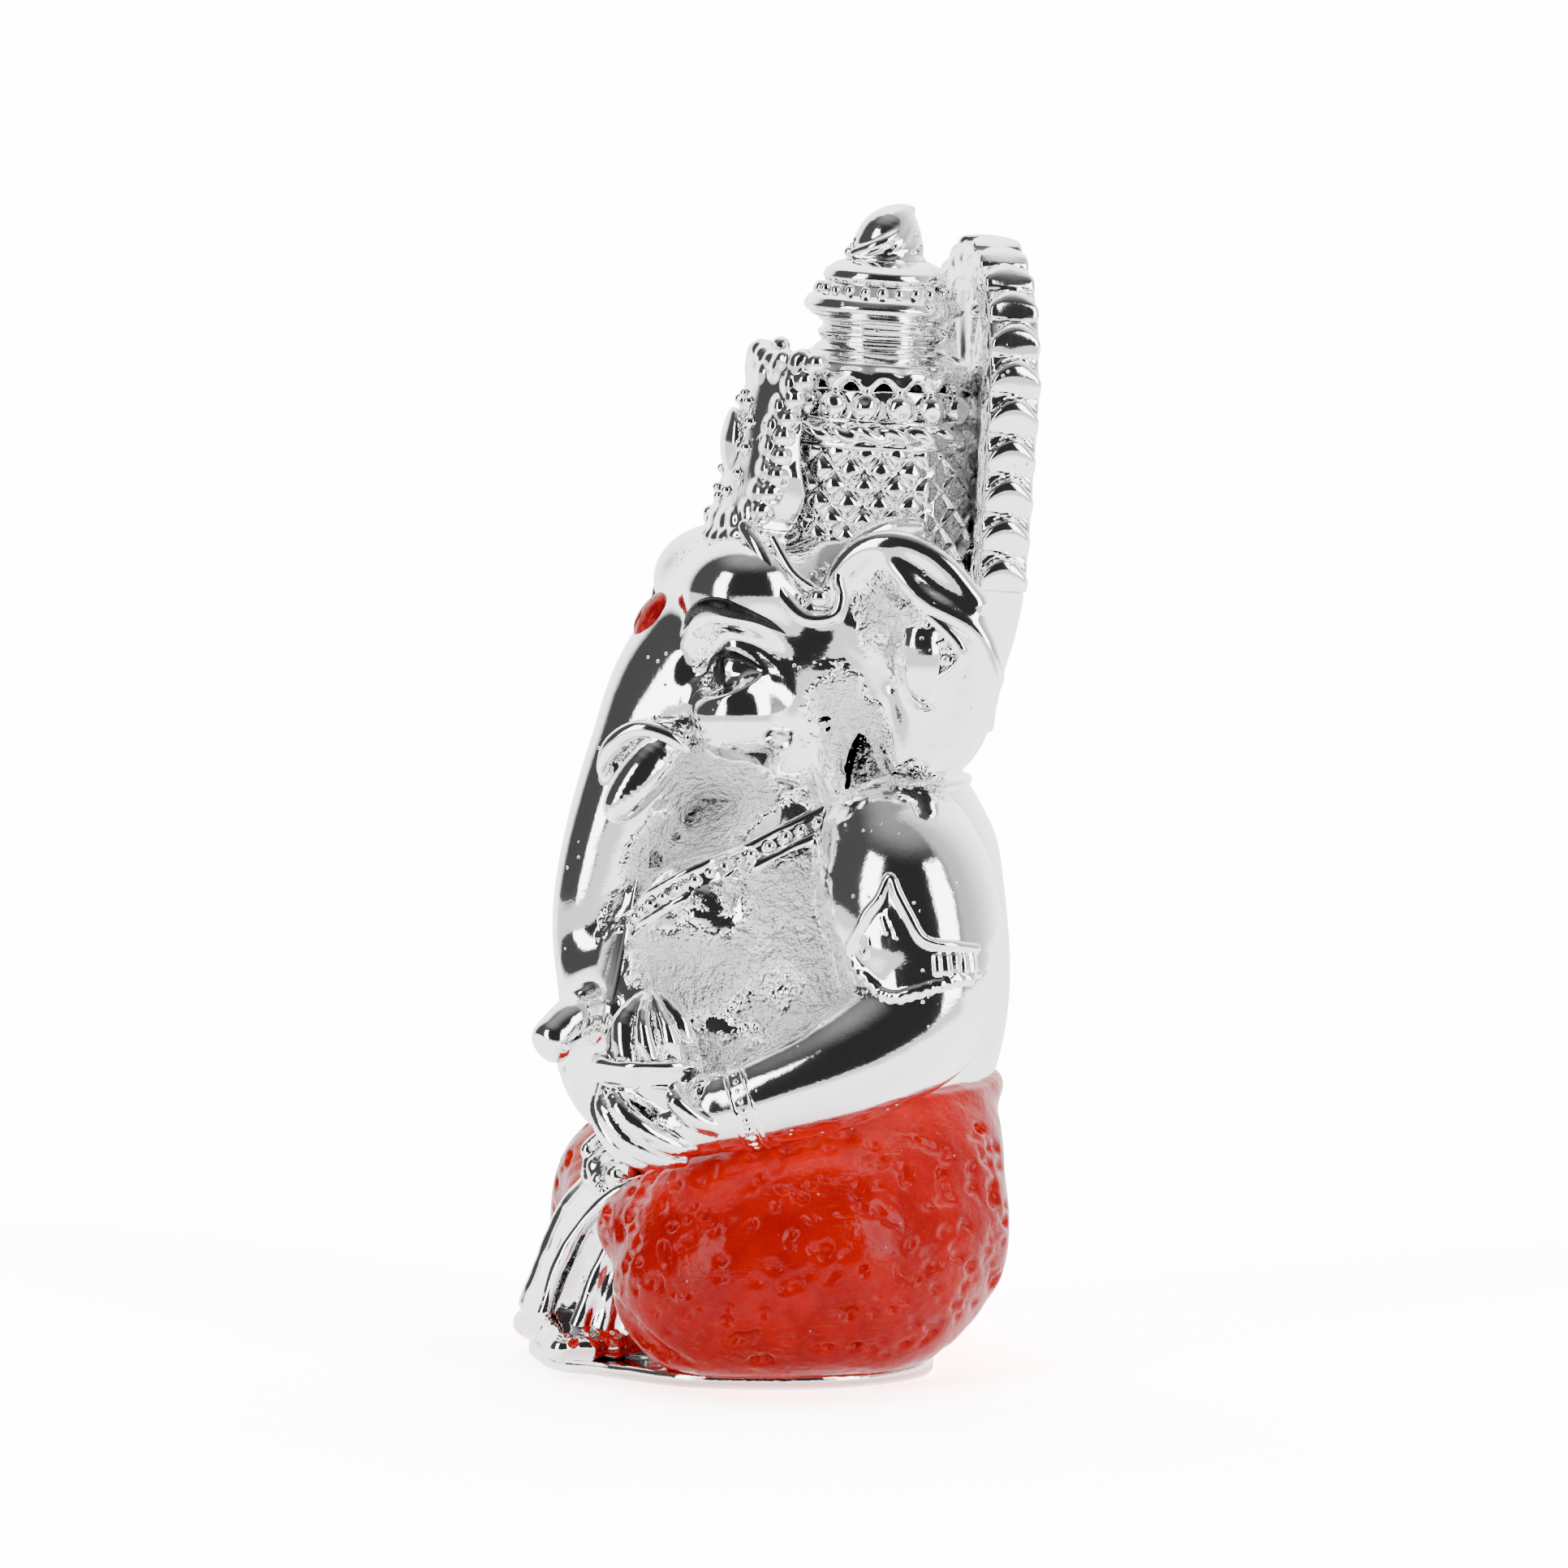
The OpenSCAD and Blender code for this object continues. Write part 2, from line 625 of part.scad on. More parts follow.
// Rays stand out of the rim's edge, up both sides and over the arch
module halo_rays() {
    straight = halo_spring_z - halo_waist_z;
    pitch = (straight + halo_half_w * PI / 2) / rays_per_side;
    ray_r = 0.47 * pitch;
    color("silver") scaled() difference() {
        on_halo() for (i = [-rays_per_side + 1:rays_per_side - 1]) {
            run = (rays_per_side - abs(i)) * pitch;
            turn = run > straight ? (run - straight) / halo_half_w * 180 / PI : 0;
            x = run > straight ? halo_half_w * cos(turn) : halo_half_w;
            z = run > straight ? halo_spring_z + halo_half_w * sin(turn) : halo_waist_z + run;
            translate([(i < 0 ? -1 : 1) * (x + (ray_out - ray_r) * cos(turn)), 0.2, z + (ray_out - ray_r) * sin(turn)])
                rotate([-90, 0, 0]) cylinder(r = ray_r, h = rim_depth - 0.4);
        }
        on_halo() translate([0, rim_depth + 1, 0]) rotate([90, 0, 0]) linear_extrude(rim_depth + 2) halo_outline();
    }
}

base_plate();
fill_plug();
resin_core();
torso_shell();
dhoti_seat();
left_thigh();
right_thigh();
waist_band();
front_sash();
sash_knot();
left_foot();
right_foot();
left_arm();
right_arm();
left_hand();
right_hand();
left_armlet();
right_armlet();
left_bangles();
right_bangles();
sweet_bowl();
sweets();
head();
trunk();
left_ear();
right_ear();
left_tusk();
right_tusk();
left_eye();
right_eye();
left_eyebrow();
right_eyebrow();
forehead_mark();
left_ear_ornament();
right_ear_ornament();
necklace();
necklace_beads();
left_temple_strap();
right_temple_strap();
crown_band();
crown_rope();
crown_gallery();
crown_studs();
crown_brim();
crown_drum();
crown_ring();
crown_beads();
crown_cap();
crown_finial();
crown_plaque();
halo_plate();
halo_rim();
halo_rays();
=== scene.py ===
"""The looks of the seated elephant-headed idol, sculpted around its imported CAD.

Forms are sculpted in control units, a hundredth of the figure's height, as signed distances on a grid,
and become closed meshes. +Z is up, the figure faces -Y, its left side is +X.
"""

import json
import math

import bpy
import numpy as np
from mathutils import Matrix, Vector


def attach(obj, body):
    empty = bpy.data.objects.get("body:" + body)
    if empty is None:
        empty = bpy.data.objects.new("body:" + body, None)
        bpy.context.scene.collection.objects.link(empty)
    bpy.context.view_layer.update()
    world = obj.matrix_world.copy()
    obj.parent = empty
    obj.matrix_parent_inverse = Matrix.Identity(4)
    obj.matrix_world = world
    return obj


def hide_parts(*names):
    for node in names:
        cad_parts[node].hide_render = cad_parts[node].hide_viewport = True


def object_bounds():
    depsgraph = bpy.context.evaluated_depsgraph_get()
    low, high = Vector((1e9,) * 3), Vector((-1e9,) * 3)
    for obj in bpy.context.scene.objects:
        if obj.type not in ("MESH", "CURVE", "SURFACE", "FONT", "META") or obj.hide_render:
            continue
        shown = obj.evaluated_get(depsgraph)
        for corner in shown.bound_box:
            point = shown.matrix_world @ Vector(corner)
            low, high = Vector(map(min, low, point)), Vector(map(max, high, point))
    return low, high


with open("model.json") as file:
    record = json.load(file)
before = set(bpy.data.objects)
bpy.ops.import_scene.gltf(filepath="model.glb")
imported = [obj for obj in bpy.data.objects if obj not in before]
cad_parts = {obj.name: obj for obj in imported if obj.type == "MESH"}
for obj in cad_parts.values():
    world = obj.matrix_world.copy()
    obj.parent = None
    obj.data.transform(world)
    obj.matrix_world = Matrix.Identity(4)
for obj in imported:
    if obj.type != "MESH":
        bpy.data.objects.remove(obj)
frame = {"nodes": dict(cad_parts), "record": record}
cad_lo, cad_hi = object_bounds()
UNIT = float(cad_hi[2] - cad_lo[2]) / 100  # metres in one control unit
CELL = 0.28
FINE = 0.12
FAR = 9.0
BEYOND = 99  # outside every grid


# ---- curves ----


def smooth(rows, steps=5):
    """Rows on a smooth curve through the control rows."""
    rows = np.array(rows, float)
    ends = np.vstack([2 * rows[0] - rows[1], rows, 2 * rows[-1] - rows[-2]])
    t = np.arange(steps)[:, None] / steps
    out = []
    for a, b, c, d in zip(ends[:-3], ends[1:-2], ends[2:-1], ends[3:]):
        out.append(0.5 * (2 * b + (c - a) * t + (2 * a - 5 * b + 4 * c - d) * t**2 + (3 * b - a - 3 * c + d) * t**3))
    return np.vstack(out + [rows[-1:]])


def closed_curve(points, steps=5):
    """A smooth closed curve through the points."""
    p = np.array(points, float)
    t = np.arange(steps)[:, None] / steps
    out = []
    for i in range(len(p)):
        a, b, c, d = p[i - 1], p[i], p[(i + 1) % len(p)], p[(i + 2) % len(p)]
        out.append(0.5 * (2 * b + (c - a) * t + (2 * a - 5 * b + 4 * c - d) * t**2 + (3 * b - a - 3 * c + d) * t**3))
    return np.vstack(out)


def mirrored(rows):
    """The same rows on the figure's other side."""
    return [[-r[0], *r[1:]] for r in rows]


def on_side(rows, side):
    """Rows given for the left, on the left (1) or the right (-1)."""
    return rows if side > 0 else mirrored(rows)


# Where the plating came out cloudy and grainy: [centre, radii, how much]
FROSTED = [
    [(7, -7, 50.5), (6, 5, 4), 1.0], [(5, -9, 43.5), (6, 6, 6), 1.0], [(4, -12.5, 37.5), (6, 4.5, 5), 0.9],
    [(12, -9.5, 36), (8, 6.5, 5), 0.75], [(14.5, 2, 55), (6, 6, 7), 0.25], [(15, 7, 66), (4, 5, 5),
        0.55], [(12, 9, 51), (6, 6, 3), 0.5],
    [(14, -6, 27), (6, 5, 4), 0.5], [(13, 2.5, 58.5), (3, 3, 4), 0.6], [(16, -9.5, 27.5), (5, 5, 3.5), 0.7],
    [(8, 17, 80), (6, 4, 10), 0.8], [(6, 14, 92), (5, 3, 6), 0.5], [(15, -1.5, 36), (4, 5, 5), 0.6],
    [(11.5, -9, 41), (5, 4.5, 4.5), 0.6], [(17, -4, 34), (4.5, 6, 4.5), 0.5], [(12.5, -3, 41.5),
        (5, 5, 4.5), 0.6], [(13.2, 3.8, 55), (3.2, 3.4, 5), 0.9],
]


def frosting(points):
    """How cloudy the plating is at points, the same on both sides."""
    p = points * (1, 1, 1)
    p[:, 0] = np.abs(p[:, 0])
    total = np.zeros(len(p))
    for centre, radii, amount in FROSTED:
        near = (((p - centre) / radii) ** 2).sum(1)
        total = np.maximum(total, amount * np.clip(1.25 - near, 0, 1))
    return total


# ---- clay: signed distances on a grid ----


def melt(a, b, blend):
    """The union of two distances, filleted over blend."""
    if blend <= 0:
        return np.minimum(a, b)
    h = np.maximum(blend - np.abs(a - b), 0)
    return np.minimum(a, b) - h * h / (4 * blend)


def lattice_weights(axis, scale):
    """Cubic weights of a grid axis's places on a lattice of that scale."""
    u = axis / scale
    base = np.floor(u).astype(int)
    t = u - base
    base -= base.min()
    w = np.zeros((len(axis), base.max() + 4), np.float32)
    rows = np.arange(len(axis))
    cubic = ((1 - t) ** 3, 3 * t**3 - 6 * t**2 + 4, -3 * t**3 + 3 * t**2 + 3 * t + 1, t**3)
    for i, part in enumerate(cubic):
        w[rows, base + i] = part / 6
    return w


class Clay:
    """A block of clay. Its distance is negative inside, and each place knows which form it belongs to."""

    def __init__(self, lo, hi, cell):
        self.cell = cell
        self.axes = [np.arange(a, b + cell, cell, dtype=np.float32) for a, b in zip(lo, hi)]
        size = [len(a) for a in self.axes]
        self.f = np.full(size, FAR, np.float32)
        self.nearest = np.full(size, FAR, np.float32)
        self.owner = np.zeros(size, np.uint8)
        self.names = []

    def block(self, lo, hi):
        """The part of the grid between two corners, and its coordinates."""
        cut = []
        for axis, a, b in zip(self.axes, lo, hi):
            i, j = np.searchsorted(axis, (a, b))
            cut.append(slice(int(i), int(max(j, i))))
        x, y, z = (a[c] for a, c in zip(self.axes, cut))
        return tuple(cut), (x[:, None, None], y[None, :, None], z[None, None, :])

    def whole(self):
        """All of the grid, and its coordinates."""
        return self.block([-BEYOND] * 3, [BEYOND] * 3)

    def add(self, form, blend=0.0, name=None):
        """Adds a form, filleted over blend. A name makes it the owner of the places nearest to it."""
        cut, d = form(self, blend + 3 * self.cell)
        if name:
            if name not in self.names:
                self.names.append(name)
            near = d < self.nearest[cut]
            self.owner[cut][near] = self.names.index(name)
            self.nearest[cut][near] = d[near]
        self.f[cut] = melt(self.f[cut], d, blend)

    def carve(self, form, blend=0.0):
        cut, d = form(self, blend + 3 * self.cell)
        self.f[cut] = -melt(-self.f[cut], d, blend)

    def keep(self, form, blend=0.0):
        """Keeps only what is inside the form."""
        cut, d = form(self, blend + 3 * self.cell)
        inside = np.full(self.f.shape, FAR, np.float32)
        inside[cut] = d
        self.f = -melt(-self.f, -inside, blend)

    def roughen(self, scale, amount, seed):
        """Uneven by hand: smooth noise of that scale."""
        wx, wy, wz = (lattice_weights(a, scale) for a in self.axes)
        rng = np.random.default_rng(seed)
        noise = rng.standard_normal((wx.shape[1], wy.shape[1], wz.shape[1])).astype(np.float32)
        noise = np.tensordot(noise, wx, (0, 1))
        noise = np.tensordot(noise, wy, (0, 1))
        self.f += 1.6 * amount * np.tensordot(noise, wz, (0, 1))

    def grain(self, scale, amount, seed):
        """Rough plating as real relief, only where it is frosted."""
        before = self.f.copy()
        self.roughen(scale, amount, seed)
        near = np.argwhere(np.abs(before) < 4 * self.cell)
        places = near * self.cell + [a[0] for a in self.axes]
        share = np.zeros(before.shape, np.float32)
        share[tuple(near.T)] = np.clip(frosting(places) * 1.3 - 0.15, 0, 1)
        self.f = before + (self.f - before) * share

    def soften(self, times=1):
        """Worn edges: each pass blurs the distance over one cell."""
        for _ in range(times):
            for axis in range(3):
                f = np.swapaxes(self.f, 0, axis)
                f[1:-1] = 0.25 * f[:-2] + 0.5 * f[1:-1] + 0.25 * f[2:]

    def probe(self, field, points):
        """A field's value at points, between the grid's places."""
        origin = [a[0] for a in self.axes]
        q = (points - origin) / self.cell
        q = np.clip(q, 0, np.array(field.shape) - 1.001)
        i = q.astype(int)
        t = q - i
        out = np.zeros(len(points))
        for dx in (0, 1):
            for dy in (0, 1):
                for dz in (0, 1):
                    w = np.abs(1 - dx - t[:, 0]) * np.abs(1 - dy - t[:, 1]) * np.abs(1 - dz - t[:, 2])
                    out += w * field[i[:, 0] + dx, i[:, 1] + dy, i[:, 2] + dz]
        return out

    def touch(self, angle, z, lift=0.0, centre=(0, 2), reach=32):
        """Where the surface is met, coming in level at that angle from +X towards the centre line."""
        a = math.radians(angle)
        r = np.arange(reach, 0, -0.1)
        points = np.stack([centre[0] + r * math.cos(a), centre[1] + r * math.sin(a), np.full(len(r), z)], 1)
        hit = int(np.argmax(self.probe(self.f, points) < 0))
        r = r[hit] + lift
        return [centre[0] + r * math.cos(a), centre[1] + r * math.sin(a), z]

    def surface(self):
        """The clay's surface: points, four-sided faces and normals."""
        inside = self.f < 0
        shape = np.array(self.f.shape) - 1
        corners = [(i, j, k) for i in (0, 1) for j in (0, 1) for k in (0, 1)]
        full = np.ones(shape, bool)
        some = np.zeros(shape, bool)
        for i, j, k in corners:
            c = inside[i : shape[0] + i, j : shape[1] + j, k : shape[2] + k]
            full &= c
            some |= c
        cells = np.argwhere(some & ~full)
        total = np.zeros((len(cells), 3))
        count = np.zeros(len(cells))
        values = {c: self.f[tuple((cells + c).T)] for c in corners}
        for a in corners:
            for axis in range(3):
                if a[axis]:
                    continue
                b = tuple(v + (n == axis) for n, v in enumerate(a))
                fa, fb = values[a], values[b]
                cross = (fa < 0) != (fb < 0)
                t = np.where(cross, fa / np.where(cross, fa - fb, 1), 0)
                at = np.repeat(np.array([a], float), len(cells), 0)
                at[:, axis] += t
                total += at * cross[:, None]
                count += cross
        points = (cells + total / count[:, None]) * self.cell + [a[0] for a in self.axes]
        index = np.full(shape, -1, np.int32)
        index[tuple(cells.T)] = np.arange(len(cells))
        faces = []
        for axis in range(3):
            u, v = (axis + 1) % 3, (axis + 2) % 3
            a = np.swapaxes(inside, 0, axis)
            starts = np.argwhere(a[:-1] != a[1:])
            starts[:, [0, axis]] = starts[:, [axis, 0]]
            starts = starts[(starts[:, u] > 0) & (starts[:, v] > 0) & (starts[:,
                u] < shape[u]) & (starts[:, v] < shape[v])]
            around = []
            for du, dv in ((1, 1), (0, 1), (0, 0), (1, 0)):
                c = starts.copy()
                c[:, u] -= du
                c[:, v] -= dv
                around.append(index[tuple(c.T)])
            quad = np.stack(around, 1)
            flip = ~inside[tuple(starts.T)]
            quad[flip] = quad[flip][:, ::-1]
            faces.append(quad)
        slopes = np.gradient(self.f, self.cell)
        for _ in range(3):
            g = np.stack([self.probe(s, points) for s in slopes], 1)
            step = self.probe(self.f, points) / np.maximum((g * g).sum(1), 0.05)
            points = points - np.clip(step, -self.cell / 2, self.cell / 2)[:, None] * g
        g = np.stack([self.probe(s, points) for s in slopes], 1)
        return points, np.vstack(faces), g / np.maximum(np.linalg.norm(g, axis=1), 1e-6)[:, None]

    def hollows(self, points, spread=4):
        """How deep in a hollow each point lies, in control units: above zero in creases, below it on ridges."""
        soft = self.f.copy()
        for _ in range(2):
            for axis in range(3):
                f = np.swapaxes(soft, 0, axis)
                total = np.cumsum(f, 0)
                f[spread + 1 : -spread] = (total[2 * spread + 1 :] - total[: -2 * spread - 1]) / (2 * spread + 1)
        return -self.probe(soft, points)


# ---- forms ----


def limb(rows, steps=5):
    """A round form along rows of [x, y, z, radius]."""
    path = smooth(rows, steps)

    def form(clay, pad):
        lo = (path[:, :3] - path[:, 3:]).min(0) - pad
        hi = (path[:, :3] + path[:, 3:]).max(0) + pad
        cut, _ = clay.block(lo, hi)
        d = np.full([c.stop - c.start for c in cut], FAR, np.float32)
        for a, b in zip(path[:-1], path[1:]):
            r = max(a[3], b[3]) + pad
            sub, (x, y, z) = clay.block(np.minimum(a, b)[:3] - r, np.maximum(a, b)[:3] + r)
            part = tuple(slice(max(s.start - c.start, 0), max(s.stop - c.start, 0)) for s, c in zip(sub, cut))
            along = (b - a)[:3]
            t = ((x - a[0]) * along[0] + (y - a[1]) * along[1] + (z - a[2]) * along[2]) / max(along @ along, 1e-9)
            t = np.clip(t, 0, 1)
            far = (x - a[0] - t * along[0]) ** 2 + (y - a[1] - t * along[1]) ** 2 + (z - a[2] - t * along[2]) ** 2
            here = (np.sqrt(far) - a[3] - t * (b[3] - a[3])).astype(np.float32)
            grid = d[part]
            np.minimum(grid, here[tuple(slice(0, n) for n in grid.shape)], out=grid)
        return cut, d

    return form


def ball(centre, radii, turn=(0, 0, 0)):
    """An ellipsoid, turned about X, Y and Z in degrees."""
    radii = np.array([radii] * 3 if np.isscalar(radii) else radii, float)
    spin = np.eye(3)
    for axis, angle in enumerate(turn):
        u, v = (axis + 1) % 3, (axis + 2) % 3
        r = np.eye(3)
        c, s = math.cos(math.radians(angle)), math.sin(math.radians(angle))
        r[u, u], r[u, v], r[v, u], r[v, v] = c, -s, s, c
        spin = r @ spin

    def form(clay, pad):
        reach = radii.max() + pad
        cut, (x, y, z) = clay.block(np.array(centre) - reach, np.array(centre) + reach)
        x, y, z = x - centre[0], y - centre[1], z - centre[2]
        p = [spin[0, i] * x + spin[1, i] * y + spin[2, i] * z for i in range(3)]
        near = np.sqrt(sum((q / r) ** 2 for q, r in zip(p, radii)))
        slope = np.sqrt(sum((q / r**2) ** 2 for q, r in zip(p, radii)))
        return cut, (near * (near - 1) / np.maximum(slope, 1e-6)).astype(np.float32)

    return form


def stack(rows):
    """Level oval rings one on another: rows of [z, middle y, half width, half depth]."""
    path = smooth(rows, 6)

    def form(clay, pad):
        wide, deep = path[:, 2].max() + pad, path[:, 3].max() + pad
        y0 = path[:, 1]
        cut, (x, y, z) = clay.block((-wide, y0.min() - deep, rows[0][0] - pad),
            (wide, y0.max() + deep, rows[-1][0] + pad))
        cy, rx, ry = (np.interp(z, path[:, 0], path[:, i]) for i in (1, 2, 3))
        near = np.sqrt((x / rx) ** 2 + ((y - cy) / ry) ** 2)
        slope = np.sqrt((x / rx**2) ** 2 + ((y - cy) / ry**2) ** 2)
        side = near * (near - 1) / np.maximum(slope, 1e-6)
        ends = np.maximum(rows[0][0] - z, z - rows[-1][0])
        return cut, np.maximum(side, ends).astype(np.float32)

    return form


def above(level):
    """Everything over a level."""

    def form(clay, pad):
        cut, (x, y, z) = clay.whole()
        return cut, (level - z + 0 * x + 0 * y).astype(np.float32)

    return form


def half_space(point, outward):
    """Everything behind a plane through the point."""
    n = np.array(outward, float)
    n /= np.linalg.norm(n)

    def form(clay, pad):
        cut, (x, y, z) = clay.whole()
        return cut, ((x - point[0]) * n[0] + (y - point[1]) * n[1] + (z - point[2]) * n[2]).astype(np.float32)

    return form


class Outline:
    """A closed outline with the signed distance to it, negative inside, kept as a table."""

    STEP = 0.1

    def __init__(self, points, pad=4.0):
        p = np.array(points, float)
        self.lo, self.hi = p.min(0) - pad, p.max(0) + pad
        a, b = (np.arange(lo, hi, self.STEP) for lo, hi in zip(self.lo, self.hi))
        a, b = a[:, None], b[None, :]
        nearest = np.full((a.size, b.size), 1e9)
        inside = np.zeros(nearest.shape, bool)
        for (a0, b0), (a1, b1) in zip(p, np.roll(p, -1, 0)):
            da, db = a1 - a0, b1 - b0
            t = np.clip(((a - a0) * da + (b - b0) * db) / max(da * da + db * db, 1e-9), 0, 1)
            np.minimum(nearest, (a - a0 - t * da) ** 2 + (b - b0 - t * db) ** 2, out=nearest)
            if b0 != b1:
                inside ^= ((b0 > b) != (b1 > b)) & (a < a0 + (b - b0) * da / db)
        self.table = (np.where(inside, -1, 1) * np.sqrt(nearest)).astype(np.float32)

    def __call__(self, a, b):
        a, b = np.broadcast_arrays(a, b)
        i, j = (np.clip((v - lo) / self.STEP, 0, n - 1.01) for v, lo, n in zip((a, b),
            self.lo, self.table.shape))
        i0, j0 = i.astype(np.int32), j.astype(np.int32)
        i, j, t = i - i0, j - j0, self.table
        low = t[i0, j0] * (1 - j) + t[i0, j0 + 1] * j
        return low * (1 - i) + (t[i0 + 1, j0] * (1 - j) + t[i0 + 1, j0 + 1] * j) * i


def turned(profile, relief=None, wave=None):
    """A profile of (radius, z) turned about Z.

    Relief stands out of it and wave shifts its z, both by (turn, radius, z).
    """
    outline = Outline([(-3, profile[0][1])] + list(profile) + [(-3, profile[-1][1])])

    def form(clay, pad):
        r = max(p[0] for p in profile) + pad + 1
        cut, (x, y, z) = clay.block((-r, -r, profile[0][1] - pad - 1), (r, r, profile[-1][1] + pad + 1))
        turn, r = np.arctan2(y, x), np.hypot(x, y)
        turn, r, z = np.broadcast_arrays(turn, r, z)
        d = outline(r, z if wave is None else z + wave(turn, r, z))
        return cut, (d if relief is None else d - relief(turn, r, z)).astype(np.float32)

    return form


def torus(centre, radius, thick, flat=1.0, relief=None):
    """A ring about Z. Relief stands out of it, by (turn, turn about the ring's own core)."""

    def form(clay, pad):
        reach = radius + thick + pad + 0.5
        lo = np.array([centre[0] - reach, centre[1] - reach, centre[2] - thick - pad - 0.5])
        cut, (x, y, z) = clay.block(lo, 2 * np.array(centre) - lo)
        x, y, z = x - centre[0], y - centre[1], (z - centre[2]) / flat
        across = np.hypot(x, y) - radius
        d = np.hypot(across, z) - thick
        if relief:
            d = d - relief(np.arctan2(y, x) + 0 * z, np.arctan2(z, across))
        return cut, d.astype(np.float32)

    return form


def panel(outline, plane, half, edge):
    """An outline given thickness. Plane takes x, y, z to its two coordinates and the height off its middle."""

    def form(clay, pad):
        cut, (x, y, z) = clay.whole()
        a, b, off = np.broadcast_arrays(*plane(x, y, z))
        return cut, (-melt(half - np.abs(off), -outline(a, b), edge)).astype(np.float32)

    return form


def tilted(angle, origin, pivot=(0, 0, 0)):
    """A local frame that leans back by the angle, with its pivot at the origin."""
    c, s = math.cos(math.radians(angle)), math.sin(math.radians(angle))
    turn = np.array([[1, 0, 0], [0, c, s], [0, -s, c]])
    return turn, np.array(origin) - turn @ np.array(pivot)


UPRIGHT = tilted(0, (0, 0, 0))


# ---- meshes ----


def make_piece(name, points, faces, normals, material, nodes, marks=None, body="root"):
    """A mesh piece in metres that rides a body, takes the nodes' place and carries the marks."""
    mesh = bpy.data.meshes.new(name)
    mesh.from_pydata((np.asarray(points) * UNIT).tolist(), [],
        faces if isinstance(faces, list) else faces.tolist())
    mesh.validate()
    mesh.polygons.foreach_set("use_smooth", np.ones(len(mesh.polygons), bool))
    if normals is not None:
        mesh.normals_split_custom_set_from_vertices(np.asarray(normals).tolist())
    for key, values in (marks or {}).items():
        layer = mesh.attributes.new(key, "FLOAT", "POINT")
        layer.data.foreach_set("value", np.asarray(values, np.float32))
    mesh.materials.append(material)
    thing = bpy.data.objects.new(name, mesh)
    bpy.context.scene.collection.objects.link(thing)
    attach(thing, body)
    if nodes:
        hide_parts(*nodes)
    return thing


def edges_of(faces):
    """Each face's edges as vertex pairs, one row per face side."""
    return np.stack([faces, np.roll(faces, -1, 1)], 2).reshape(-1, 2)


def split_by_owner(clay, points, faces):
    """A label for each face, evened out so that every border is a clean line."""
    spot = np.clip(np.round((points - [a[0] for a in clay.axes]) / clay.cell).astype(int),
        0, np.array(clay.f.shape) - 1)
    label = clay.owner[tuple(spot.T)][faces[:, 0]].astype(int)
    pairs = np.sort(edges_of(faces), 1)
    side_face = np.repeat(np.arange(len(faces)), 4)
    order = np.lexsort((pairs[:, 1], pairs[:, 0]))
    a, b = order[:-1], order[1:]
    same = (pairs[a] == pairs[b]).all(1)
    left, right = side_face[a[same]], side_face[b[same]]
    kinds = len(clay.names)
    for _ in range(12):
        votes = np.zeros((len(faces), kinds))
        votes[np.arange(len(faces)), label] = 1.5
        np.add.at(votes, (left, label[right]), 1)
        np.add.at(votes, (right, label[left]), 1)
        label = votes.argmax(1)
    return label


def capped(faces, points, normals):
    """Closes each open border of a patch with a fan to its middle."""
    pairs = edges_of(faces)
    seen = dict.fromkeys(map(tuple, pairs))
    loose = {}
    for a, b in seen:
        if (b, a) not in seen:
            loose.setdefault(b, []).append(a)
    points, normals, faces = list(points), list(normals), faces.tolist()
    while loose:
        start = next(iter(loose))
        loop = [start]
        while True:
            following = loose[loop[-1]].pop()
            if not loose[loop[-1]]:
                del loose[loop[-1]]
            if following == start or following not in loose:
                break
            loop.append(following)
        middle = len(points)
        ring = np.array([points[i] for i in loop])
        points.append(ring.mean(0))
        facing = np.array([normals[i] for i in loop]).mean(0)
        normals.append(facing / max(np.linalg.norm(facing), 1e-6))
        for i, j in zip(loop, loop[1:] + loop[:1]):
            faces.append([i, j, middle])
    return faces, np.array(points), np.array(normals)


def castings(clay, material, frost=None):
    """The clay's skin cut into one closed piece for each named form."""
    points, faces, normals = clay.surface()
    hollow = clay.hollows(points)
    if frost:
        hollow = hollow + frost(points)
    label = split_by_owner(clay, points, faces)
    for number, name in enumerate(clay.names):
        mine = faces[label == number]
        used, flat = np.unique(mine, return_inverse=True)
        part_faces, part_points, part_normals = capped(flat.reshape(mine.shape), points[used], normals[used])
        marks = {"hollow": np.append(hollow[used], np.zeros(len(part_points) - len(used)))}
        make_piece(name + "_skin", part_points, part_faces, part_normals, material, [name], marks)


def one_piece(name, clay, material, nodes, place=UPRIGHT, frost=0.0, side=1):
    """All of the clay as one piece, in its local frame's place, on the left or mirrored to the right."""
    points, faces, normals = clay.surface()
    depth = clay.hollows(points, min(4, min(clay.f.shape) // 3)) + frost
    turn, shift = place
    points, normals = points @ turn.T + shift, normals @ turn.T
    depth = depth + frosting(points)
    if side < 0:
        points, normals, faces = points * (-1, 1, 1), normals * (-1, 1, 1), faces[:, ::-1]
    return make_piece(name, points, faces, normals, material, nodes, {"hollow": depth})


# ---- materials ----


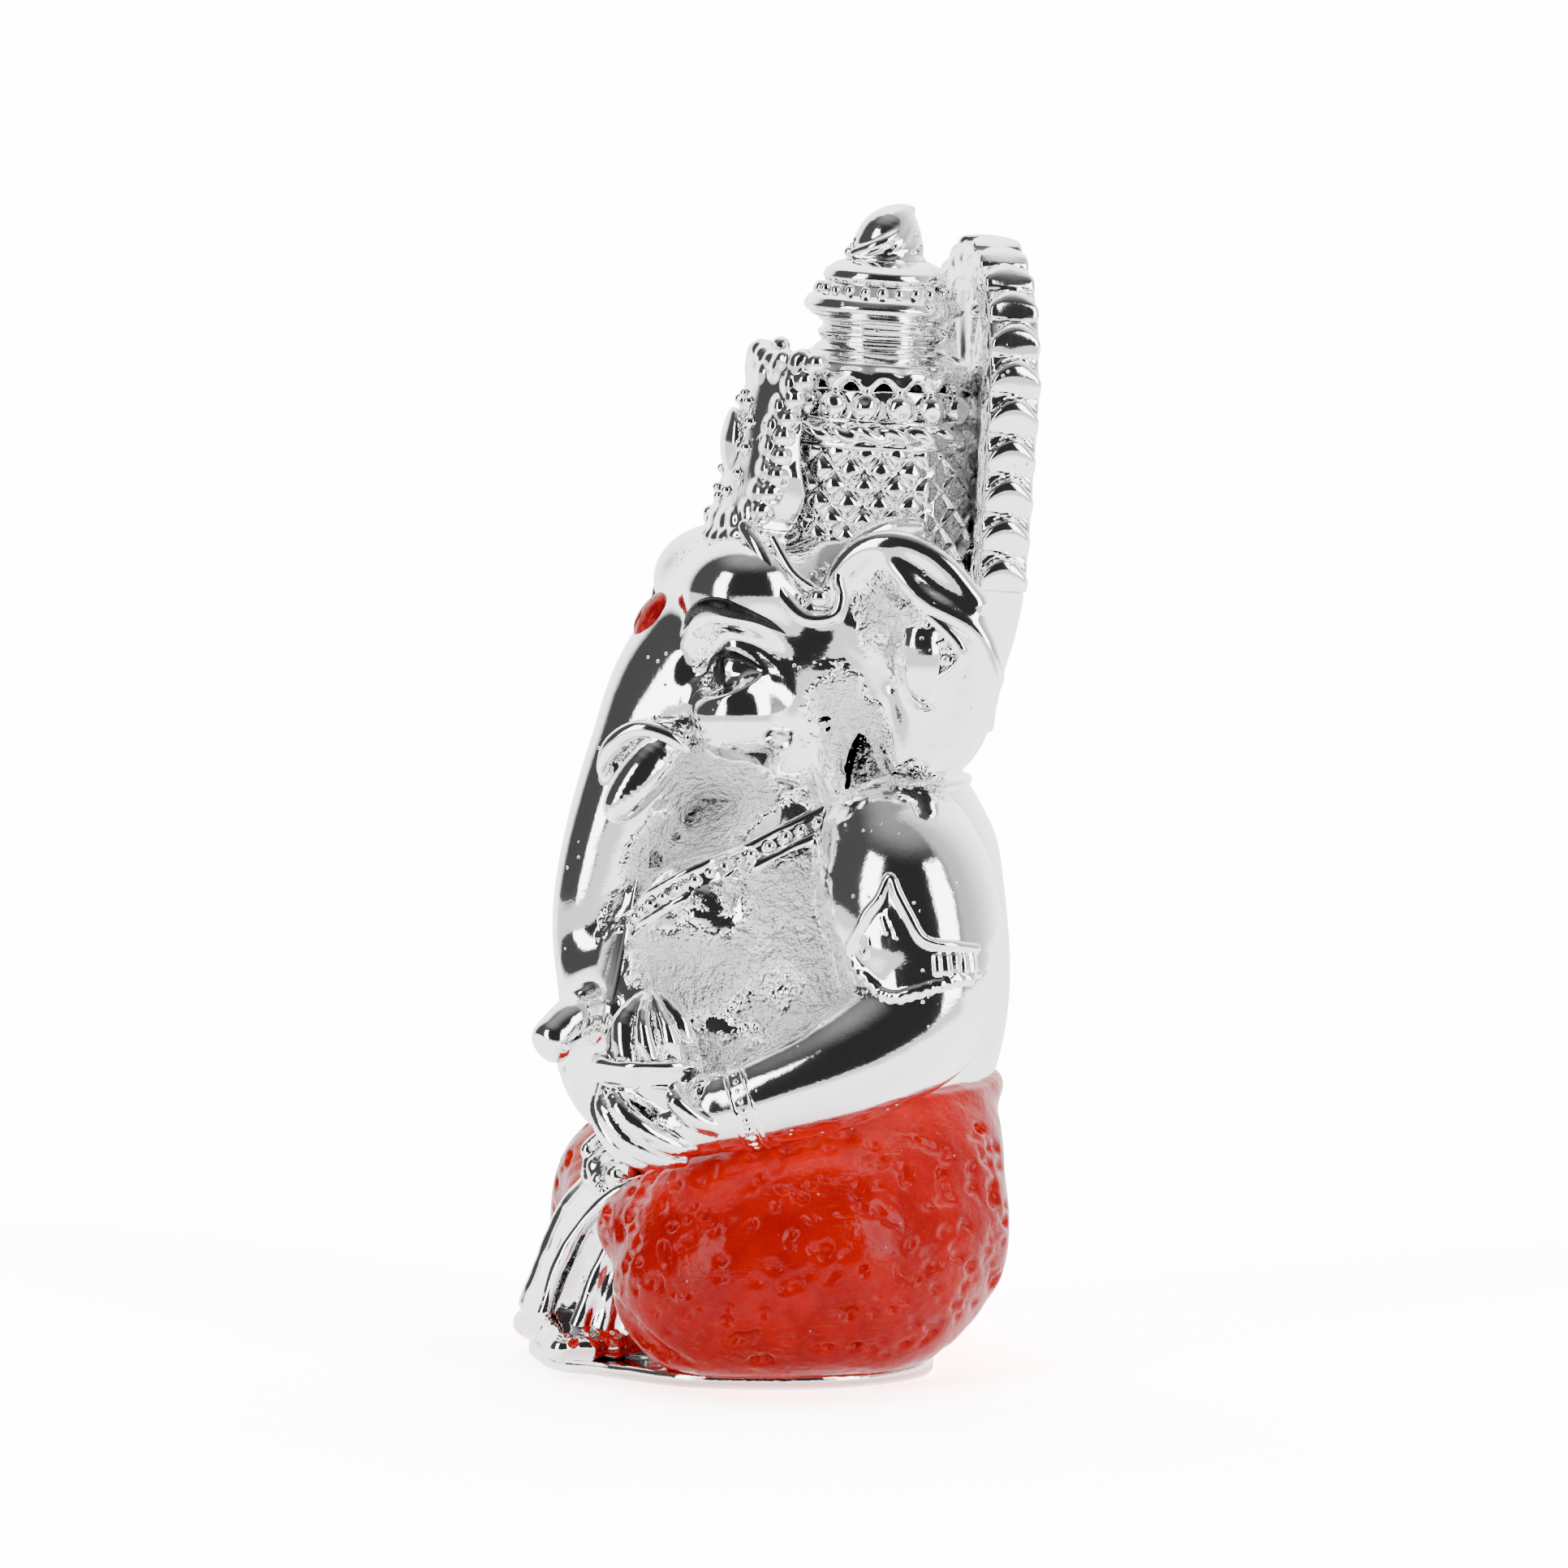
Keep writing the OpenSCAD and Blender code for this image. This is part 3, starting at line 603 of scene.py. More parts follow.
class Paint:
    """A small helper that builds a node material."""

    def __init__(self, name):
        self.material = bpy.data.materials.new(name)
        self.material.use_nodes = True
        self.tree = self.material.node_tree
        self.skin = next(n for n in self.tree.nodes if n.type == "BSDF_PRINCIPLED")
        self.place = self.node("ShaderNodeTexCoord").outputs["Object"]

    def node(self, kind, **values):
        n = self.tree.nodes.new(kind)
        for key, value in values.items():
            if hasattr(n, key):
                setattr(n, key, value)
            else:
                self.put(n.inputs[key.replace("_", " ")], value)
        return n

    def put(self, socket, value):
        if isinstance(value, bpy.types.NodeSocket):
            self.tree.links.new(value, socket)
        else:
            socket.default_value = value

    def noise(self, size, detail=2.0, rough=0.5):
        """Noise whose lumps are about that many control units wide."""
        n = self.node("ShaderNodeTexNoise", Scale=1 / (size * UNIT), Detail=detail, Roughness=rough)
        self.put(n.inputs["Vector"], self.place)
        return n.outputs["Fac"]

    def cells(self, size):
        """Distance to the nearest of scattered points, about that many control units apart."""
        n = self.node("ShaderNodeTexVoronoi", feature="F1", Scale=1 / (size * UNIT))
        self.put(n.inputs["Vector"], self.place)
        return n.outputs["Distance"]

    def ramp(self, value, low, high, to_low=0.0, to_high=1.0):
        n = self.node("ShaderNodeMapRange", interpolation_type="SMOOTHSTEP")
        for i, v in enumerate((value, low, high, to_low, to_high)):
            self.put(n.inputs[i], v)
        return n.outputs[0]

    def math(self, operation, a, b=0.0):
        n = self.node("ShaderNodeMath", operation=operation, use_clamp=False)
        self.put(n.inputs[0], a)
        self.put(n.inputs[1], b)
        return n.outputs[0]

    def mix(self, share, a, b):
        n = self.node("ShaderNodeMix", data_type="RGBA")
        self.put(n.inputs["Factor"], share)
        self.put(n.inputs[6], a)
        self.put(n.inputs[7], b)
        return n.outputs[2]

    def mark(self, name):
        return self.node("ShaderNodeAttribute", attribute_name=name).outputs["Fac"]

    def bump(self, height, depth, under=None):
        """Raises the surface by height times depth, in control units."""
        n = self.node("ShaderNodeBump", Distance=depth * UNIT, Strength=1.0)
        self.put(n.inputs["Height"], height)
        if under is not None:
            self.put(n.inputs["Normal"], under)
        return n.outputs["Normal"]

    def set(self, **values):
        for key, value in values.items():
            self.put(self.skin.inputs[key.replace("_", " ")], value)


def silver_plate(name):
    """Bright plating: mirror-like where it was polished, cloudy and grainy in the hollows, with small pits."""
    p = Paint(name)
    hollow = p.mark("hollow")
    patch = p.noise(2.2, 3.0, 0.6)
    cloud = p.ramp(p.math("ADD", hollow, p.math("MULTIPLY", p.math("SUBTRACT", patch, 0.5), 0.9)), 0.12, 0.75)
    grain = p.math("ADD", p.noise(0.45, 3.0, 0.6), p.math("MULTIPLY", p.noise(1.15, 3.0, 0.6), 1.3))
    pit = p.ramp(p.cells(0.9), 0.06, 0.2, 1.0, 0.0)
    some = p.ramp(p.noise(4.0, 2.0), 0.57, 0.65)
    pit = p.math("MULTIPLY", pit, some)
    p.set(
        Metallic=1.0,
        Base_Color=p.mix(p.math("MULTIPLY", pit, 0.7), (0.93, 0.93, 0.925, 1), (0.25, 0.24, 0.23, 1)),
        Roughness=p.ramp(cloud, 0.0, 1.0, 0.075, 0.24),
    )
    wave = p.bump(p.noise(3.4, 1.0), 0.05)
    grainy = p.bump(p.math("MULTIPLY", grain, p.ramp(cloud, 0.0, 1.0, 0.01, 1.0)), 0.75, wave)
    p.set(Normal=p.bump(p.math("MULTIPLY", pit, -1.0), 0.12, grainy))
    return p.material


def red_enamel(name):
    """Glossy enamel brushed on by hand: streaks along the strokes, thin in places, silver where it missed."""
    p = Paint(name)
    turned = p.node("ShaderNodeMapping", vector_type="POINT")
    p.put(turned.inputs["Vector"], p.place)
    turned.inputs["Rotation"].default_value = (0.0, math.radians(-14), math.radians(-12))
    turned.inputs["Scale"].default_value = (1.0, 0.16, 1.0)
    streak = p.node("ShaderNodeTexNoise", Scale=1 / (0.5 * UNIT), Detail=5.0, Roughness=0.6)
    p.put(streak.inputs["Vector"], turned.outputs[0])
    broad = p.noise(9.0, 2.0)
    thin = p.math("MULTIPLY", p.ramp(streak.outputs["Fac"], 0.52, 0.74), p.ramp(broad, 0.47, 0.64))
    tone = p.mix(p.ramp(p.noise(4.0, 3.0), 0.35, 0.7), (0.62, 0.001, 0.001, 1), (0.8, 0.003, 0.001, 1))
    tone = p.mix(p.math("MULTIPLY", thin, 0.75), tone, (0.85, 0.085, 0.012, 1))
    speck = p.math("MULTIPLY", p.ramp(p.cells(1.7), 0.0, 0.085, 1.0, 0.0), p.ramp(p.noise(3.0), 0.52, 0.6))
    p.set(
        Base_Color=p.mix(speck, tone, (0.8, 0.78, 0.76, 1)),
        Roughness=p.ramp(p.noise(1.4, 3.0), 0.3, 0.7, 0.12, 0.26),
        Specular_IOR_Level=0.16,
    )
    fine = p.bump(streak.outputs["Fac"], 0.05)
    p.set(Normal=p.bump(p.noise(1.2, 2.0), 0.1, fine))
    return p.material


def gloss_enamel(name, colour):
    p = Paint(name)
    p.set(
        Base_Color=p.mix(p.ramp(p.noise(0.8, 3.0), 0.4, 0.75), (*colour, 1),
            (*[min(1, c * 1.8 + 0.01) for c in colour], 1)),
        Roughness=p.ramp(p.noise(0.5), 0.3, 0.7, 0.2, 0.4),
        Specular_IOR_Level=0.15,
        Normal=p.bump(p.noise(0.6, 2.0), 0.06),
    )
    return p.material


def cast_resin(name, colour):
    p = Paint(name)
    p.set(
        Base_Color=p.mix(p.noise(2.0, 4.0), (*colour, 1), (*[c * 0.8 for c in colour], 1)),
        Roughness=p.ramp(p.noise(0.5, 3.0), 0.3, 0.7, 0.5, 0.75),
        Normal=p.bump(p.noise(0.4, 4.0), 0.1),
    )
    return p.material


SILVER = silver_plate("silver_plate")
RED = red_enamel("red_enamel")
BLACK = gloss_enamel("black_enamel", (0.008, 0.008, 0.009))
MARK = gloss_enamel("mark_enamel", (0.5, 0.008, 0.01))
RESIN = cast_resin("casting_resin", (0.8, 0.76, 0.68))
PLUG = cast_resin("plug_resin", (0.55, 0.54, 0.52))
SLOTS = {
    "silver_plate": SILVER,
    "red_enamel": RED,
    "black_enamel": BLACK,
    "mark_enamel": MARK,
    "casting_resin": RESIN,
    "plug_resin": PLUG,
}

# ---- places ----

EAR_ROOT = (10.8, 3.2)
EAR_TURN = math.radians(60)
EAR_LEAN = 0.1  # how much further out the flap stands per unit of height
EAR_OUTLINE = closed_curve([
    (-1.5, 61), (-0.4, 66), (2.5, 70.8), (6, 72.4), (10, 70.6), (13, 66.6), (14.4, 61.6), (13.6,
        57), (11.4, 53.2),
    (8.2, 51.2), (5, 50.2), (2.6, 49.4), (0.2, 51.4), (-1.2, 55.4),
])


def on_ear(s, z, out=0.0):
    """A place on the left ear: s along the flap, out from its middle plane towards the front."""
    c, n = math.cos(EAR_TURN), math.sin(EAR_TURN)
    out = out + EAR_LEAN * (z - 61)
    return [EAR_ROOT[0] + s * c + out * n, EAR_ROOT[1] + s * n - out * c, z]


def ear_plane(side):
    c, n = math.cos(EAR_TURN), math.sin(EAR_TURN)

    def plane(x, y, z):
        x, y = side * x - EAR_ROOT[0], y - EAR_ROOT[1]
        return x * c + y * n, z, x * n - y * c - EAR_LEAN * (z - 61)

    return plane


def along_ear(rows):
    """Rows of [s, z, out, radius] as places on the left ear."""
    return [on_ear(s, z, out) + [r] for s, z, out, r in rows]


def on_skin(rows, lift=0.0):
    """Rows of [angle from +X, z, radius] as places on the body's skin."""
    return [body.touch(a, z, lift) + [r] for a, z, r in rows]


# ---- the silver body, head and limbs: one skin, cut into its castings ----

ARM = [
    [13.5, 7.4, 45, 7.2], [15.4, 7.8, 41.8, 8], [17.4, 8.4, 37.2, 7.4], [19.2, 7.8, 31.8, 6.2],
    [20.4, 1, 27.6, 5.1], [19.6, -5, 25.2, 4.2], [18.6, -9, 23.9, 3.4],
]
RAISED_ARM = [
    [13.5, 7.4, 45, 7.2], [15.4, 7.8, 41.8, 8], [17.4, 8, 37, 7.2], [19.2, 6, 32, 5.6],
    [20.4, 0, 29.2, 4.6], [20, -5, 30, 3.9], [19.2, -8.2, 33.4, 3.2],
]
TRUNK = [
    [0, -3.4, 65.5, 6.2], [0, -8.0, 59.5, 6.3], [0, -11.4, 53, 5.4], [0, -14, 47, 4.7], [0, -15.8, 41, 4.1],
    [0.4, -16.5, 36.5, 3.6], [2.6, -16.8, 33.2, 3], [6, -17.6, 31.8, 2.5], [9, -19.8, 31.2, 2.2], [10.2,
        -22, 29.6, 2.0],
]

body = Clay((-27, -27, 12), (27, 24, 76), CELL)
body.add(stack([
    [16, 2, 12, 10], [18, 1.2, 15, 13.4], [21, 0.6, 17, 16.4], [24, 0.3, 18, 18], [27.5, 0, 18.4, 19],
    [32, 0.2, 18.2, 19.2], [36.5, 1.2, 17.1, 18.4], [41, 2.9, 15.6, 16.8], [45, 4.4, 14, 14.8], [49, 5.4,
        11, 12], [53, 5.4, 8.5, 9.5],
]), 0, "torso_shell")
body.add(ball((0, -2.6, 26.4), (17.6, 16.3, 10.6)), 3, "torso_shell")
body.add(ball((0, 9, 34), (15, 11, 13)), 3, "torso_shell")
for side in (1, -1):
    body.add(ball((side * 8.4, -8, 39.8), (6.6, 6, 5.4)), 1.3, "torso_shell")
body.carve(ball((0, -20, 26), 1.3), 1.2)
body.carve(half_space((0, 19.7, 34), (0, -1, 0)), 1.5)
NECKLACE = [
    (78, 51.5), (42, 51), (10, 49), (-14, 47), (-35, 44.6), (-50, 42), (-66, 39.2), (-78, 37.4), (-90, 37),
]
neck_path = np.array([body.touch(a, z) for a, z in smooth(NECKLACE, 6)])
body.add(limb(ARM, 14), 0.9, "left_arm")
body.add(limb(mirrored(RAISED_ARM), 14), 0.9, "right_arm")
body.add(stack([
    [48, 3, 6.5, 7.5], [51, 1.6, 9.5, 10.5], [55, 1, 11.2, 12.6], [60, 2, 12, 13.6],
    [65, 3.6, 11.8, 13.4], [69, 5.4, 10.8, 11.6], [72.5, 7, 8.6, 8.8], [74, 8, 5, 5],
]), 1.0, "head")
body.add(limb(TRUNK, 14), 2.6, "trunk")
for side in (1, -1):
    body.add(ball((side * 8.4, -5, 57.4), (4.6, 4.6, 4.4)), 1.6, "head")
    body.add(ball((side * 6.2, -3.6, 67.6), (5.6, 6.2, 5)), 2.2, "head")
    body.carve(ball((side * 10, -9, 61.2), (3.4, 2.6, 2.2)), 1.4)  # the hollow that the eye lies in

# Face: eyeball, lids, brow ridge, the crease beside the trunk and the fold of skin round each tusk
LID = [(-56, 59.6, 0.24), (-50, 61.8, 0.36), (-41, 63.2, 0.46), (-33, 62.8, 0.42), (-26, 61.5, 0.34),
    (-20, 60.6, 0.15)]
LOWER_LID = [(-55, 59.5, 0.2), (-47, 58.9, 0.3), (-38, 59.1, 0.36), (-31, 60, 0.32), (-25, 61.3, 0.26)]
CREASE = [(-56, 59.2, 0.2), (-57, 57, 0.55), (-58, 55.2, 0.7), (-60, 53.2, 0.4)]
TUSK_FOLD = [[3.8, -16.8, 51.6, 0.4], [5.2, -16, 54.4, 0.75], [6.8, -13.9, 56, 0.85],
    [8.2, -11.4, 55.4, 0.75], [9, -9.4, 53.6, 0.3]]
socket = body.touch(-41, 61.2)
eye_at = [socket[0] - 0.9, socket[1] + 0.7, 61.2]
lid = on_skin(LID, 0.25)
lower_lid = on_skin(LOWER_LID, 0.2)
crease = on_skin(CREASE, 0.15)
brow_ridge = on_skin([(-64, 63.4, 0.4), (-54, 65.4, 0.8), (-42, 66, 0.9), (-28, 65, 0.6),
    (-18, 63.2, 0.3)], -0.35)
for side in (1, -1):
    body.add(ball((side * eye_at[0], eye_at[1], eye_at[2]), (2.4, 2.2, 1.75), (0, 0, side * 45)), 0.25)
    body.add(limb(on_side(lid, side)), 0.3)
    body.add(limb(on_side(lower_lid, side)), 0.3)
    body.add(limb(on_side(brow_ridge, side)), 0.8)
    body.carve(limb(on_side(crease, side)), 0.5)
    body.add(limb(on_side(TUSK_FOLD[0 if side > 0 else 2 :], side)), 0.5)

# Ears: flap, rolled top, a folded ridge across it and a scoop with a raised rim
SCOOP_RIM = along_ear([
    [-2.6, 61.6, 1.1, 0.3], [-2.0, 59.4, 1.5, 0.6], [-1.7, 56, 1.7, 0.7], [-1.3, 52.6, 1.7, 0.7], [-0.1,
        50, 1.6, 0.75],
    [2.0, 48.9, 1.5, 0.8], [4.2, 50, 1.5, 0.7], [5.3, 52.6, 1.5, 0.6], [5.5, 56, 1.5, 0.55], [4.9, 59.4,
        1.3, 0.4],
])
EAR_ROLL = along_ear([
    [-1.2, 66, 0.6, 0.9], [0.2, 69.4, 0.8, 1.1], [2.6, 71.8, 0.8, 1.2], [6, 72.4, 0.6, 1.2], [9.6, 70.8,
        0.4, 1.0], [12.6, 67.4, 0.2, 0.9],
])
EAR_FOLD = along_ear([
    [4.6, 71.6, 1.0, 0.6], [6.4, 69.6, 1.5, 0.9], [8.4, 67.6, 1.8, 1.0], [10.8, 66.2, 1.6, 0.9], [13,
        64.2, 0.8, 0.7], [14, 61, 0.2, 0.6],
])
for side in (1, -1):
    name = "left_ear" if side > 0 else "right_ear"
    body.add(panel(Outline(EAR_OUTLINE), ear_plane(side), 1.4, 1.6), 1.0, name)
    body.add(limb(on_side(EAR_ROLL, side)), 1.0, name)
    body.add(limb(on_side(EAR_FOLD, side)), 1.1, name)
    hollow_at = on_side([on_ear(2.6, 67.0, 3.4)], side)[0]
    body.carve(ball(hollow_at, (2.4, 2.6, 2.8)), 1.2)
    body.add(ball(on_side([on_ear(1.2, 52, 0.4)], side)[0], (3.2, 3.2, 4.2)), 1.0, name)
    body.add(limb(on_side(SCOOP_RIM, side)), 0.5, name)
    scoop = along_ear([[1.6, 59, 2.9, 1.5], [1.9, 56, 3.1, 2.1], [1.9, 53.4, 3.5, 1.6]])
    body.carve(limb(on_side(scoop, side)), 0.5)
    patch = on_side([on_ear(8, 62.6, 1.2)], side)[0]
    body.add(ball(patch, (2.2, 2.2, 4.4), (0, 0, side * 60)), 0.8)

# Trunk tip: a rim round the nostril and its spiral
TIP = np.array([10.9, -23.4, 28.7])
body.carve(ball(tuple(TIP), (1.15, 1.15, 1.15)), 0.2)
body.add(ball(tuple(TIP + (-0.5, 0.7, 0.6)), 0.62), 0.15)
body.soften(2)
body.roughen(5.0, 0.06, 3)
body.grain(0.75, 0.2, 4)
body.grain(1.8, 0.2, 6)

castings(body, SILVER, frosting)


def small_clay(rows, margin=1.2, cell=FINE):
    """Fine clay round the places of some rows."""
    p = np.array([r[:3] for r in rows])
    return Clay(p.min(0) - margin - 1.5, p.max(0) + margin + 1.5, cell)


def pair(name, clay, material=SILVER, frost=0.0):
    """A piece on the left, and the same on the right."""
    for side, word in ((1, "left_"), (-1, "right_")):
        one_piece(word + name + "_skin", clay, material, [word + name], frost=frost, side=side)


# ---- face trim ----

pupil = body.touch(-44, 61.1, -0.1)
lash = on_skin([(-54, 60.6, 0.1), (-49, 62, 0.3), (-42, 62.6, 0.42), (-34, 62.1, 0.3), (-26, 61.3, 0.12)],
    0.02)
eye = small_clay(lash)
eye.add(ball(pupil, (0.72, 0.4, 1.15), (0, 0, 46)))
eye.add(limb(lash))
eye.carve(ball(body.touch(-46, 61.7, 0.35), 0.22))
pair("eye", eye, BLACK)

brow = on_skin([(-64, 63.9, 0.12), (-56, 65.9, 0.5), (-47, 66.9, 0.75), (-37, 66.5, 0.75),
    (-27, 65.6, 0.5), (-17, 64.2, 0.15)], -0.12)
eyebrow = small_clay(brow)
eyebrow.add(limb(brow))
eyebrow.roughen(1.2, 0.08, 5)
pair("eyebrow", eyebrow, BLACK)

mark_at = body.touch(-90, 65.2, -0.2)
forehead_mark = Clay(np.array(mark_at) - 4, np.array(mark_at) + 4, FINE)
forehead_mark.add(ball(mark_at, (2.1, 0.85, 2.3), (-32, 0, 0)), 0)
forehead_mark.carve(limb([[-0.6, mark_at[1] - 0.7, mark_at[2] + 1.1, 0.18],
    [0.4, mark_at[1] - 0.95, mark_at[2] + 0.2, 0.2],
                          [-0.3, mark_at[1] - 1.2, mark_at[2] - 0.9, 0.16]]), 0.2)
forehead_mark.roughen(1.0, 0.06, 8)
one_piece("forehead_mark_skin", forehead_mark, MARK, ["forehead_mark"])

TUSK = [[6.4, -11, 54.8, 1.9], [7.0, -13, 52.6, 2.15], [7.3, -14.8, 50.4, 1.95], [7.4, -16, 49, 1.2]]
FULL_TUSK = [[6.4, -11, 54.6, 2], [7.6, -12.8, 51.6, 1.9], [9.4, -14, 49.8, 1.3], [11, -14.8, 48.8, 0.55]]
for side, rows in ((1, TUSK), (-1, FULL_TUSK)):
    tusk = small_clay(rows, 2.5)
    tusk.add(limb(rows))
    tusk.add(limb([[5, -12.6, 52.6, 0.4], [6.6, -12.6, 54.9, 0.5], [8.6, -11.8, 53.8, 0.4]]), 0.3)
    tusk.roughen(1.6, 0.05, 11)
    word = "left" if side > 0 else "right"
    one_piece(word + "_tusk_skin", tusk, SILVER, [word + "_tusk"], side=side)

# Ear ornament: a folded patch covered with granules
rng = np.random.default_rng(21)
ORNAMENT = Outline([(4.4, 67.6), (7.4, 67.2), (11.4, 63.6), (10.8, 61.8), (7.2, 58.8), (5.8, 60.4)])
ornament = small_clay([on_ear(4, 58, 1.5), on_ear(12, 68, 1.5)], 1.4)
ornament.add(limb(along_ear([[5, 67.4, 1.7, 0.5], [8.4, 66.6, 2.0, 0.5], [11.4, 63.9, 2.1, 0.6],
    [11.2, 62.2, 2.1, 0.6], [9.2, 60.6, 2.2, 0.5]])))
for _ in range(90):
    s, z = rng.uniform(4.4, 11.4), rng.uniform(58.8, 67.6)
    r = rng.uniform(0.32, 0.62)
    if ORNAMENT(np.array([s]), np.array([z]))[0] < -0.3:
        ornament.add(ball(on_ear(s, z, 1.75 + rng.uniform(0, 0.5)), (r, r, r * rng.uniform(0.8, 1.3))), 0.15)
ornament.add(panel(ORNAMENT, lambda x, y, z: (lambda p: (p[0], p[1], p[2] - 1.35))(ear_plane(1)(x, y, z)),
    0.5, 0.4), 0.2)
pair("ear_ornament", ornament, frost=0.15)

# Temple strap: down from the crown, round a small ball, and up along the top of the ear
STRAP = [
    [7.4, -4.6, 73.4, 0.7], [9, -3.8, 71.8, 0.8], [10.4, -2.9, 69.6, 0.75], [11.2, -1.9, 67.4,
        0.75], [12.3, -0.2, 65.8, 0.7],
    [13.2, 2.0, 66, 0.6], [13.2, 2.7, 67.6, 0.55], [12.9, 2.5, 69.6, 0.6], [12.4, 4.2, 72, 0.8], [11.4, 7,
        73.4, 0.9], [10.4, 10, 73.4, 0.8],
]
strap = small_clay(STRAP, 1.5)
strap.add(limb(STRAP))
strap.add(ball((12.7, 0.9, 67.6), 0.95), 0.15)
strap.add(limb([[9.4, -2.6, 72.6, 0.4], [11, -1.2, 69.8, 0.4], [12.2, 0.4, 68.4, 0.4]]), 0.3)
pair("temple_strap", strap)

# ---- necklace: two ridges along the skin with faceted beads between them ----

centre_line = np.vstack([neck_path * (-1, 1, 1), neck_path[-2::-1]])
outward = centre_line - (0, 3, 40)
outward[:, 2] = np.abs(outward[:, 2]) * 0.5 + 2
outward /= np.linalg.norm(outward, axis=1)[:, None]
up = np.array([0, 0, 1]) - outward * outward[:, 2:3]
up /= np.linalg.norm(up, axis=1)[:, None]
necklace = Clay((-20, -19, 33), (20, 22, 56), 0.2)
for shift, radius in ((1.15, 0.5), (-1.15, 0.6), (0, 1.0)):
    line = centre_line + up * shift + outward * (0.15 if shift else -0.6)
    necklace.add(limb(np.hstack([line, np.full((len(line), 1), radius)]), 1), 0.35)
necklace.roughen(1.4, 0.1, 31)
one_piece("necklace_skin", necklace, SILVER, ["necklace"], frost=0.1)

run = np.concatenate([[0], np.cumsum(np.linalg.norm(np.diff(centre_line, axis=0), axis=1))])
beads = Clay((-19, -19, 34), (19, 22, 55), 0.18)
BEAD_PITCH = 1.55
for t in np.arange(6, run[-1] - 6, BEAD_PITCH):
    at = [float(np.interp(t, run, (centre_line + outward * 0.35)[:, i])) for i in range(3)]
    beads.add(ball(at, (0.62, 0.62, 0.72), tuple(rng.uniform(0, 90, 3))), 0.05)
beads.roughen(0.8, 0.1, 33)
one_piece("necklace_beads_skin", beads, SILVER, ["necklace_beads"], frost=0.1)

# ---- crown, in its own frame: z from the foot of the band, leaning back ----

CROWN = tilted(3.4, (0, 8.2, 72))
STUDS = 18


def tier(node, profile, relief=None, wave=None, extra=(), rough=(1.2, 0.05), frost=0.0, cell=0.15):
    """One turned tier of the crown, uneven as cast."""
    r = max(p[0] for p in profile) + 1.6
    clay = Clay((-r, -r, profile[0][1] - 1.4), (r, r, profile[-1][1] + 1.4), cell)
    clay.add(turned(profile, relief, wave))
    for form, blend in extra:
        clay.add(form, blend)
    clay.roughen(*rough, seed=len(node) + 40)
    one_piece(node + "_skin", clay, SILVER, [node], CROWN, frost)


def quilting(turn, r, z):
    """Diamonds: soft pillows in front, turning into a raised lattice towards the back."""
    count = 20
    across = turn / (2 * math.pi) * count
    slant = z / 3.0
    a, b = (np.abs((v % 1) - 0.5) * 2 for v in (across + slant, across - slant))
    pillow = 0.62 * (1 - a**3) * (1 - b**3)
    lattice = 0.85 * np.maximum(a, b) ** 4
    back = np.clip((turn - math.radians(14)) / math.radians(20), 0, 1) * (turn < 2.6)
    return np.where(z < 8.1, pillow * (1 - back) + lattice * back, 0)


tier("crown_band", [(8.6, -3.6), (8.8, -2), (9.0, 2), (8.9, 5), (8.6, 8.1)], quilting, rough=(1.5, 0.05))
tier("crown_rope", [(8.4, 7.9), (9.0, 8.1), (9.1, 8.5), (8.8, 9.7), (8.7, 10.1), (8.2, 10.2)],
     extra=[(torus((0, 0, 9.1), 8.9, 0.75, 1.0, lambda t, w: 0.2 * np.cos(22 * t + 2 * w)), 0.1),
            (torus((0, 0, 8.05), 9.0, 0.34), 0.1), (torus((0, 0, 10.15), 8.7, 0.26), 0.1)], rough=(1.6, 0.08))
tier("crown_gallery", [(8.0, 10.0), (8.0, 12.9)], rough=(0.8, 0.12), frost=0.15)

studs = Clay((-10.5, -10.5, 9.6), (10.5, 10.5, 13.4), 0.15)
for i in range(STUDS):
    turn = 2 * math.pi * i / STUDS
    at = np.array([8.35 * math.cos(turn), 8.35 * math.sin(turn), 11.45])
    studs.add(ball(at, (1.3, 1.3, 1.35)))
    off = turn + rng.uniform(-0.5, 0.5)
    studs.carve(ball(at + 1.9 * np.array([math.cos(off), math.sin(off), rng.uniform(-0.4, 0.5)]), 0.95), 0.25)
studs.roughen(0.7, 0.05, 51)
one_piece("crown_studs_skin", studs, SILVER, ["crown_studs"], CROWN, 0.1)


def scallops(turn, r, z):
    return 0.55 * np.cos(STUDS * turn) * np.clip((14.9 - z) / 1.4, 0, 1)


tier("crown_brim", [(7.6, 12.9), (8.5, 13.1), (8.9, 13.7), (8.75, 14.5), (8.1, 15.0), (7.4, 15.3),
    (6, 15.9)], wave=scallops,
     extra=[(torus((0, 0, 14.95), 7.9, 0.26), 0.1)], rough=(1.4, 0.08))
tier("crown_drum", [(6.1, 15.6), (6.0, 16.0), (5.6, 16.4), (5.2, 16.7), (5.55, 17.0), (5.75, 17.5),
    (5.3, 17.9), (5.2, 18.2),
                    (5.7, 18.5), (5.6, 19.2)], rough=(2.2, 0.07))
tier("crown_ring", [(5.6, 18.8), (6.3, 19.0), (6.95, 19.4), (7.05, 19.8), (6.7, 20.4), (6.1, 20.8),
    (5.1, 21.9)],
     extra=[(torus((0, 0, 19.1), 6.2, 0.25), 0.1)], rough=(2.4, 0.1))

